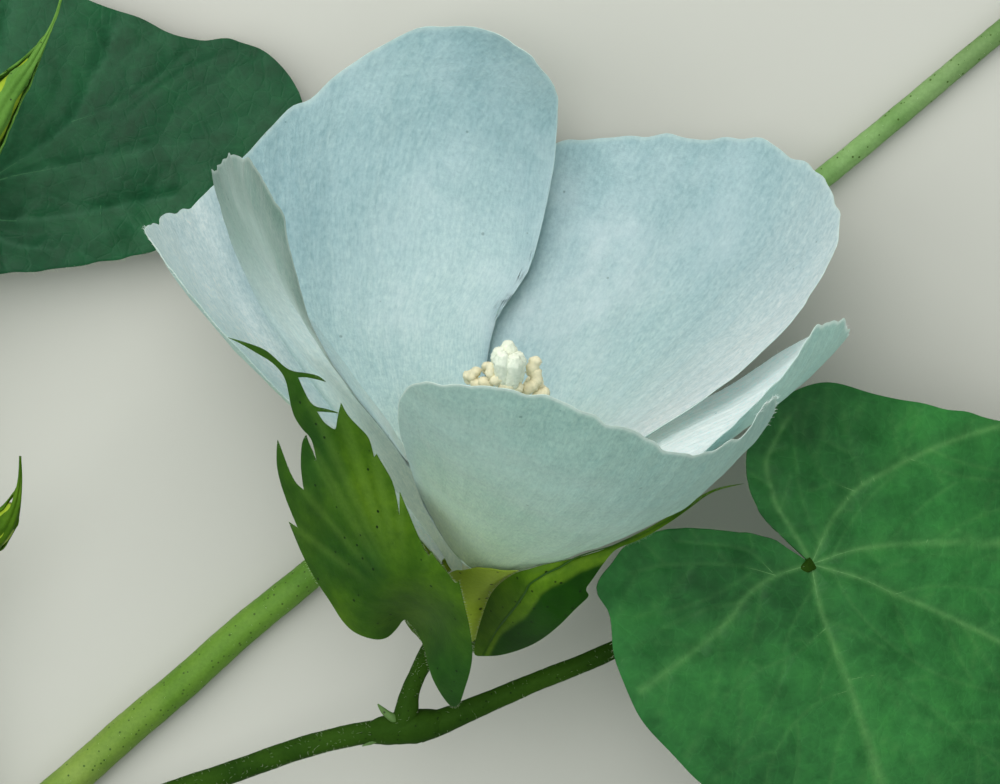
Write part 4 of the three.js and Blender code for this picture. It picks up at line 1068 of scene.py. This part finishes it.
def h_left(u, v):
    w = (-0.85 * (u - 400) + 0.53 * (v - 500)) * 0.105
    d2 = ((u - 412) ** 2 + (v - 630) ** 2) * 0.105 ** 2
    # a soft fold runs from the notch at the foot up to the left side: the part beyond it turns down
    q = (-(u - 337) * 172 + (v - 449) * 70) / 185.7 * 0.105
    fold = np.log1p(np.exp(np.clip(q / 0.5, -30, 30))) * 0.5
    low = np.log1p(np.exp(np.clip((v - 640) * 0.105 / 0.8, -30, 30))) * 0.8
    return 34.6 - 0.72 * w - 0.016 * w * w - 9 * np.exp(-d2 / 12) - 0.055 * np.maximum(0, v - 600) - 0.34 * fold + 0.10 * np.minimum(-q, 6) - 0.12 * low


def shade_left(u, v):
    q = (-(u - 337) * 172 + (v - 449) * 70) / 185.7 * 0.105
    a = 0.55 * np.clip(q / 1.2 + 0.5, 0, 1) * np.clip((620 - v) / 60, 0, 1)
    b_ = 0.80 * np.clip((v - 575) / 90, 0, 1) * np.clip((u - 330) / 60, 0, 1)
    edge = 0.35 * np.clip((440 - v) / 40, 0, 1)
    slow = 0.16 * waves(7, 6, 40, 150, 2)(np.stack([u, v], -1))
    return np.clip(0.12 + np.maximum(np.maximum(a, b_), edge) + slow, 0, 1)


bract("bract_left", BL, h_left, (408, 612), ["bract", "bract_in"], 91, "bract_left", shade=shade_left)

BR = [[475, 656], [474, 650], [477, 634], [483, 614], [489, 597], [496, 587], [505, 579.5], [514, 573.5], [521, 571], [530, 568.8], [540, 565.5], [552, 563],
      [564, 560.5], [575, 558], [590, 554], [600, 551], [611, 546], [640, 533], [668, 517], [692, 502], [706, 492.5], [721, 486.5], [744, 483.6],
      [722, 488.5], [708, 494], [694, 505], [668, 524], [640, 540], [617, 548], [609, 556], [600, 568], [592, 580], [584.5, 589.5], [590, 595],
      [583, 602], [575, 609], [560, 625], [540, 641], [520, 650], [500, 655.5], [486, 656]]
CREASE = np.array([[478, 666], [490, 642], [497, 630], [507, 617], [516, 606], [525, 593], [530, 584], [537, 579], [545, 574], [560, 567], [574, 558.5],
                   [590, 552.5], [610, 546.5], [640, 535], [668, 520], [700, 499], [744, 484]], float)


def crease_q(u, v):
    """signed distance (mm) from the crease, positive to the lower right"""
    u, v = np.asarray(u, float), np.asarray(v, float)
    best, out = np.full(u.shape, 1e9), np.zeros(u.shape)
    for a, b_ in zip(CREASE[:-1], CREASE[1:]):
        e = b_ - a
        t = np.clip(((u - a[0]) * e[0] + (v - a[1]) * e[1]) / (e @ e), 0, 1)
        du, dv = u - a[0] - t * e[0], v - a[1] - t * e[1]
        d = np.hypot(du, dv)
        out = np.where(d < best, np.sign(e[0] * dv - e[1] * du) * d, out)
        best = np.minimum(best, d)
    return out * 0.105


def band_width(u):
    return 1.25 * np.clip((np.asarray(u, float) - 492) / 34, 0.25, 1)


def h_right(u, v):
    z = 17.9 + 0.16 * (u - 480) + 0.115 * (640 - v)
    z = 33.2 - 1.2 * np.log1p(np.exp(np.clip((33.2 - z) / 1.2, -30, 30)))
    q = crease_q(u, v)
    over = np.clip(q - band_width(u), 0, 20)
    z = z - 0.30 * np.clip(q, 0, 20) - 0.55 * over - 0.035 * over ** 2
    z = z - 0.10 * np.clip(-q, 0, 3) ** 2 * np.clip((u - 520) / 20, 0, 1)
    z = z - 0.30 * np.exp(-(q / 0.28) ** 2) * np.clip((u - 484) / 10, 0, 1)
    return z - 0.02 * np.clip(u - 600, 0, 200)


def shade_right(u, v):
    q = crease_q(u, v)
    w = band_width(u)
    dark = np.clip((q - w) / 0.5, 0, 1)
    dark = dark * dark * (3 - 2 * dark)
    left = np.clip((-q) / 0.4, 0, 1) * np.clip((548 - u) / 30, 0, 1) * 0.45
    line = 0.85 * np.exp(-(q / 0.16) ** 2)
    return np.clip(np.maximum(dark, left) + line, 0, 1)


bract("bract_right", BR, h_right, (481, 655), ["bract_fold", "bract_in"], 93, "bract_right", 2.2, bend=-0.06, shade=shade_right, ridge=0.0, puck=0.05)

# a thin dark tube along the crease: a painted shadow line in the fold
b = Bag()
cl = smooth_path(CREASE[1:-3], 120)
Q = at(cl[:, 0], cl[:, 1], h_right(cl[:, 0], cl[:, 1]) + 0.16)
vv, ff, *_ = tube(Q, [0.03, 0.13, 0.12, 0.08, 0.10, 0.07, 0.05, 0.02], 8)
b.add(vv, ff)
b.done("bract_right_crease_shadow", ["bract_crease_shadow"], "bract")

BB = [[452, 640], [424, 632], [404, 610], [386, 572], [376, 530], [364, 470], [346, 408], [376, 450], [386, 410], [380, 352], [402, 404], [414, 384],
      [422, 345], [434, 384], [446, 402], [462, 356], [466, 404], [478, 440], [500, 392], [494, 456], [494, 520], [486, 572], [474, 612]]


def h_back(u, v):
    y = (640 - v) * 0.105
    return 6.6 + 0.19 * y - 0.0245 * y * y + 0.0009 * (u - 440) ** 2 * 0.105


bract("bract_back", BB, h_back, (452, 632), ["bract_in", "bract"], 95, "bract_back")

# the short thick claws that hold the bracts to the head of the flower stalk
b = Bag()
for path, rad in (([[416, 622, 19.6], [424, 632, 16.6], [433, 638, 13.4], [441, 640, 12.0]], [0.35, 0.7, 0.95, 0.9]),
                  ([[400, 608, 20.6], [416, 626, 17.0], [432, 639, 12.8]], [0.3, 0.6, 0.8]),
                  ([[497, 646, 11.4], [480, 646, 11.5], [462, 642, 11.8], [446, 638, 12.2]], [0.35, 0.8, 1.0, 0.9]),
                  ([[456, 622, 7.6], [452, 632, 8.6], [446, 638, 11.2]], [0.35, 0.8, 0.9])):
    stem_bag(b, path, rad, 97, 16, 0.3, 3, absolute=True)
b.done("bract_claws", ["bract"], "bract")


# ------------------------------------------------------------------ calyx: a lobed cup pressed to the feet of the petals
# how far the rim reaches along the petals (mm) at each angle round the axis: one tall lobe in front, low ones elsewhere
RIM = np.array([[-180, 5], [-125, 4], [-100, 2.0], [-60, 1.4], [-34, 1.4], [-22, 3.4], [-15, 4.9], [-8, 6.4], [0, 8.5], [4, 9.9], [11, 11.5], [19, 12.7],
                [24, 13.3], [28, 11.5], [34, 6.5], [45, 4.4], [70, 4.0], [95, 6], [115, 7], [140, 5], [180, 5]], float)


def calyx():
    na = 180
    low = np.array([[1.5, -9.0], [2.3, -8.6], [3.0, -7.9], [3.6, -6.6], [3.95, -5.4], [4.2, -4.0]])
    k_lo, k_up = ((26, 40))
    nh = k_lo + k_up
    phi = np.linspace(-np.pi, np.pi, na, endpoint=False)
    reach = np.interp(np.degrees(phi), RIM[:, 0], RIM[:, 1]) + 0.12 * np.sin(17 * phi) + 0.08 * np.sin(31 * phi + 1)
    q = np.linspace(0, 1, k_up)
    PH = phi[:, None] * np.ones(k_up)
    ELL = reach[:, None] * q[None]
    rho, hh, al = corolla(PH, ELL)

    def surface(inset):
        d = 1.36 + 0.9 * np.exp(-ELL / 1.3) - inset * np.clip(1.15 - q, 0.3, 1)[None]
        R = R0 + rho + d * np.cos(al)
        H = hh - d * np.sin(al)
        n_low = np.linspace(0, 1, k_lo, endpoint=False)
        arc = np.linspace(0, 1, len(low))
        end = np.stack([R[:, 0], H[:, 0]], -1)
        prof = np.stack([np.interp(n_low, arc, low[:, 0]), np.interp(n_low, arc, low[:, 1])], -1)
        L = np.repeat(prof[None], na, 0)
        # ease the top of the plain cup towards the foot of the upper part
        e = np.clip((n_low - 0.55) / 0.45, 0, 1) ** 2 * 0.55
        L = L * (1 - e)[None, :, None] + end[:, None] * e[None, :, None]
        L[..., 0] = L[..., 0] - inset + 0.05 * np.cos(10 * phi)[:, None] * (1 - n_low)[None]
        RR = np.concatenate([L[..., 0], R], 1)
        HH = np.concatenate([L[..., 1], H], 1)
        return flower_point(RR, HH, phi[:, None] * np.ones_like(RR))
    P, Q = surface(0.0), surface(0.25)
    v = np.vstack([P.reshape(-1, 3), Q.reshape(-1, 3), flower_point(np.array([0.0]), np.array([-9.2]), np.array([0.0])),
                   flower_point(np.array([0.0]), np.array([-8.8]), np.array([0.0]))])
    faces = []
    off = na * nh
    for i in range(na):
        j = (i + 1) % na
        for k in range(nh - 1):
            a, b_, c, d = i * nh + k, j * nh + k, j * nh + k + 1, i * nh + k + 1
            faces.append((a, b_, c, d))
            faces.append((a + off, d + off, c + off, b_ + off))
        k = nh - 1
        faces.append((i * nh + k, j * nh + k, j * nh + k + off, i * nh + k + off))
        faces.append((2 * off, j * nh, i * nh))
        faces.append((2 * off + 1, i * nh + off, j * nh + off))
    a = v[faces[0][0]]; b_ = v[faces[0][1]]; c = v[faces[0][2]]
    cen = foot - 5 * axis
    if np.cross(b_ - a, c - a).dot(a - cen) < 0:
        faces = [q[::-1] for q in faces]
    ob = piece("calyx_cup", v, faces, ["calyx"], "calyx")
    # the soft heart of the flower that fills the cup
    b = Bag()
    c0 = np.array([flower_point(np.array([0.0]), np.array([h]), np.array([0.0]))[0] for h in (-8.7, -6, -3, -1.2, 0.4)])
    vv, ff, *_ = tube(smooth_path(c0, 12), [1.0, 2.6, 3.2, 2.4, 1.2], 24)
    b.add(vv, ff)
    b.done("ovary", ["filament"], "calyx")


calyx()


# ------------------------------------------------------------------ staminal column, anthers and stigma
def column():
    def P(r, h, ph):
        q = flower_point(np.array([r]), np.array([h]), np.array([ph]))[0]
        return q + [-0.0056 * max(0, h) ** 2, 0, 0]
    line = np.array([P(0, h, 0) for h in np.linspace(-1, 27, 40)])
    b = Bag()
    vv, ff, *_ = tube(line, [1.9, 1.35, 1.2, 1.15, 1.1, 1.0, 0.8, 0.6, 0.5], 20, lambda i, a: 0.06 * np.cos(5 * a) + 0 * i)
    b.add(vv, ff)
    rs = np.random.RandomState(17)
    an = Bag()
    count = 95
    spots = []
    for k in range(count):
        f = (k + 0.5) / count
        h = 6.0 + 18.5 * f ** 0.9
        ph = k * 2.39996 + rs.uniform(-0.2, 0.2)
        L = 2.6 + 0.9 * math.sin(math.pi * f) + rs.uniform(-0.4, 0.5)
        spots.append((h, ph, L, 0.9 + 0.6 * rs.rand()))
    # no extra spots are added here; the topmost anthers are placed below
    extra = []
    spots += extra
    for h, ph, L, rise in spots:
        p0, p1 = P(0.9, h, ph), P(0.9 + L * 0.55, h + rise * 0.7, ph + 0.05)
        p2 = P(0.9 + L, h + rise, ph)
        q = smooth_path([p0, p1, p2], 6)
        vv, ff, *_ = tube(q, [0.11, 0.08, 0.07], 5)
        b.add(vv, ff)
        # a kidney-shaped anther: two swollen lobes on a bent core
        d = unit(p2 - p1)
        x = unit(np.cross(d, rs.normal(size=3)))
        y = np.cross(d, x)
        size = rs.uniform(0.66, 0.86)
        arc = [p2 + x * (1.05 * size * c) + d * (0.55 * size * (1 - c * c) + 0.15) for c in np.linspace(-1, 1, 9)]
        vv, ff, *_ = tube(arc, [0.15 * size, 0.62 * size, 0.72 * size, 0.5 * size, 0.72 * size, 0.62 * size, 0.15 * size], 10,
                          lambda i, a: 0.045 * np.sin(9 * a + 31 * i) * np.sin(np.pi * i) - 0.10 * size * np.exp(-((np.mod(a, 6.283) - 3.14) / 0.4) ** 2))
        an.add(vv, ff)
    # the topmost anthers, seen over the rim of the near petal: (u, v, mm towards the viewer from the column, turn)
    for k, (u, v, dz, turn, size) in enumerate(((532, 366, 0.4, 1.2, 0.98), (534, 378, 0.8, 1.7, 0.95), (529, 388, 1.2, 0.5, 0.95), (541, 394, 1.0, 0.2, 0.85),
                                                (492, 371, 2.3, 1.4, 0.80), (499, 380, 2.7, 0.4, 0.85), (488, 383, 1.8, 0.1, 0.85), (507, 387, 2.6, 0.0, 0.80),
                                                (472, 376, 0.2, 0.3, 0.80), (479, 384, 0.8, -0.3, 0.85), (516, 390, 2.2, 0.5, 0.8))):
        near_h = 24.2 + (388 - v) * 0.09
        axis_p = P(0, near_h - 1.4, 0)
        p2 = at(u, v, axis_p[2] + dz)
        q = smooth_path([axis_p, axis_p * 0.4 + p2 * 0.6 + axis * 0.3, p2], 8)
        vv, ff, *_ = tube(q, [0.12, 0.09, 0.08], 6)
        b.add(vv, ff)
        x = np.array([math.cos(turn), math.sin(turn), 0.15])
        d = unit(p2 - q[-3])
        arc = [p2 + x * (1.10 * size * c) + d * (0.30 * size * (1 - c * c)) for c in np.linspace(-1, 1, 11)]
        vv, ff, *_ = tube(arc, [0.18 * size, 0.60 * size, 0.74 * size, 0.60 * size, 0.74 * size, 0.60 * size, 0.18 * size], 14,
                          lambda i, a: 0.05 * np.sin(7 * a + 19 * i + k) * np.sin(np.pi * i) + 0.03 * np.sin(13 * a + 41 * i))
        an.add(vv, ff)
    b.done("staminal_column_tube", ["filament"], "stamens", "staminal_column")
    an.done("anthers", ["anther"], "stamens")
    # stigma: a tapering head of fused, slightly twisted lobes
    st = Bag()
    for k in range(5):
        a = k * 2 * math.pi / 5 + 0.63
        top = (30.6, 30.2, 30.7, 30.0, 30.5)[k]
        q = np.array([P(r, h, a + tw) for r, h, tw in ((0.30, 25.6, 0.0), (0.72, 26.8, 0.05), (0.90, 28.3, 0.12), (1.02, 29.4, 0.18), (1.12, top, 0.22))])
        vv, ff, *_ = tube(smooth_path(q, 30), [0.35, 0.72, 0.84, 0.88, 0.92, 0.94, 0.50], 26,
                          lambda i, a_: 0.065 * np.sin(5 * a_ + 13 * i + k) * np.sin(np.pi * i) + 0.05 * np.sin(11 * a_ - 23 * i) + 0.04 * np.sin(17 * a_ + 47 * i))
        st.add(vv, ff)
    st.done("stigma", ["stigma"], "stamens")


column()


# ------------------------------------------------------------------ flower buds wrapped in their own toothed bracts
def bud(name, spine, widths, roll, seed, m0, scale_h):
    ctrl = np.array([at(u, v, GROUND + h) for u, v, h in spine])
    c = smooth_path(ctrl, 60)
    d = unit(np.gradient(c, axis=0))
    nn = np.empty_like(c)
    cur = np.array([0, 0, 1.0])
    for i in range(60):
        cur = cur - d[i] * cur.dot(d[i]); cur /= np.linalg.norm(cur); nn[i] = cur
    bb = np.cross(d, nn)
    w = np.interp(np.linspace(0, 1, 60), np.linspace(0, 1, len(widths)), widths)
    rs = np.random.RandomState(seed)
    bag = Bag()
    for k in range(3):
        a0 = roll + k * 2.094
        reach = (1.0, 0.86, 0.8)[k]
        nt, ns = 44, 25
        t = np.linspace(0, 1, nt) * reach
        s = np.linspace(-1, 1, ns)
        T, S = np.meshgrid(t, s, indexing="ij")
        i = np.clip(T * 59, 0, 58.999).astype(int)
        fr = (T * 59 - i)[..., None]
        C = c[i] * (1 - fr) + c[i + 1] * fr
        NN = nn[i]; BB = bb[i]
        W = np.interp(T, np.linspace(0, 1, 60), w)
        tt = T / reach
        spread = 1.15 * (1 - 0.55 * tt)
        tooth = 1 + 0.30 * np.sin(2 * np.pi * (6.5 * tt + 0.3 * k)) * np.clip((tt - 0.3) * 3, 0, 1) * np.clip((1 - tt) * 6, 0, 1) * np.abs(S) ** 3
        A = a0 + S * spread * tooth
        taper = np.clip((1 - tt) / 0.25, 0, 1) ** 0.7
        Rr = W * (1.0 + 0.10 * k) * (0.25 + 0.75 * taper) + 0.08 * np.cos(9 * A)
        P = C + Rr[..., None] * (np.cos(A)[..., None] * NN + np.sin(A)[..., None] * BB)
        v, f, side = shell(P, np.full(P.shape[:2], 0.09))
        f = orient(v, f)
        bag.add(v, [tuple(q) for q in f], 0)
    core = tube(c[:44], list(np.array([0.5, 0.82, 0.86, 0.8, 0.6, 0.2]) * max(widths)), 20)
    bag.add(core[0], core[1], 1)
    hb_pts = c[4:50:1]
    bag.done(name + "_bracts", [m0, "calyx"], "bract", name)


bud("bud_left", [[-58, 592, 16.4], [-50, 566, 18.5], [-28, 545, 20.0], [0, 527, 21.2], [14, 502, 22.0], [19, 480, 22.4], [20, 456, 22.6]],
    [0.9, 2.3, 2.6, 1.9, 1.15, 0.55, 0.1], 0.3, 101, "bract", 1)
bud("bud_upper", [[-62, 232, 14.2], [-45, 185, 15.4], [-20, 140, 16.4], [8, 93, 17.0], [33, 58, 17.4], [54, 20, 17.6], [62, -6, 17.6]],
    [0.9, 2.5, 2.5, 1.9, 1.3, 0.45, 0.1], 0.2, 103, "bract_bright", 1)

# ------------------------------------------------------------------ floor, light, camera
def area(name, loc, target, size, energy, colour):
    l = bpy.data.lights.new(name, "AREA")
    l.shape = "DISK"
    l.size = size
    l.energy = energy
    l.color = colour
    o = bpy.data.objects.new(name, l)
    o.location = loc
    o.rotation_euler = (Vector(target) - Vector(loc)).to_track_quat("-Z", "Y").to_euler()
    bpy.context.scene.collection.objects.link(o)
    return o


cam = bpy.data.cameras.new("cam")
cam.sensor_width = 36.0
cam.lens = F0 * 36.0 / 1000.0
cam.clip_start, cam.clip_end = 0.01, 10
cam_ob = bpy.data.objects.new("cam", cam)
cam_ob.location = row([0, 0, D0])
cam_ob.rotation_euler = (0, 0, 0)
bpy.context.scene.collection.objects.link(cam_ob)
bpy.context.scene.camera = cam_ob

fm = bpy.data.meshes.new("floor")
fm.from_pydata([(-3, -3, 0), (3, -3, 0), (3, 3, 0), (-3, 3, 0)], [], [(0, 1, 2, 3)])
floor = bpy.data.objects.new("floor", fm)
floor_mat, ft, fb = mat("floor", 0.9, Specular_IOR_Level=0.1)
fb.inputs["Base Color"].default_value = (0.50, 0.49, 0.45, 1)
fm.materials.append(floor_mat)
bpy.context.scene.collection.objects.link(floor)

area("key", (-0.22, 0.66, 0.72), (0, 0.01, 0.03), 0.95, 5.6, (1.0, 0.99, 0.97))
area("front", (-0.12, 0.08, 1.00), (0, 0.01, 0.03), 0.60, 3.0, (0.98, 1.0, 0.99))
area("left", (-0.58, -0.06, 0.62), (0, 0.01, 0.04), 0.7, 2.4, (0.97, 1.0, 0.98))
area("fill", (0.50, -0.30, 0.65), (0, 0, 0.03), 0.8, 1.2, (0.93, 1.0, 0.96))
w = bpy.data.worlds.new("studio")
bpy.context.scene.world = w
w.use_nodes = True
w.node_tree.nodes["Background"].inputs["Color"].default_value = (0.80, 0.90, 0.86, 1)
w.node_tree.nodes["Background"].inputs["Strength"].default_value = 0.50
bpy.context.scene.view_settings.view_transform = "Standard"
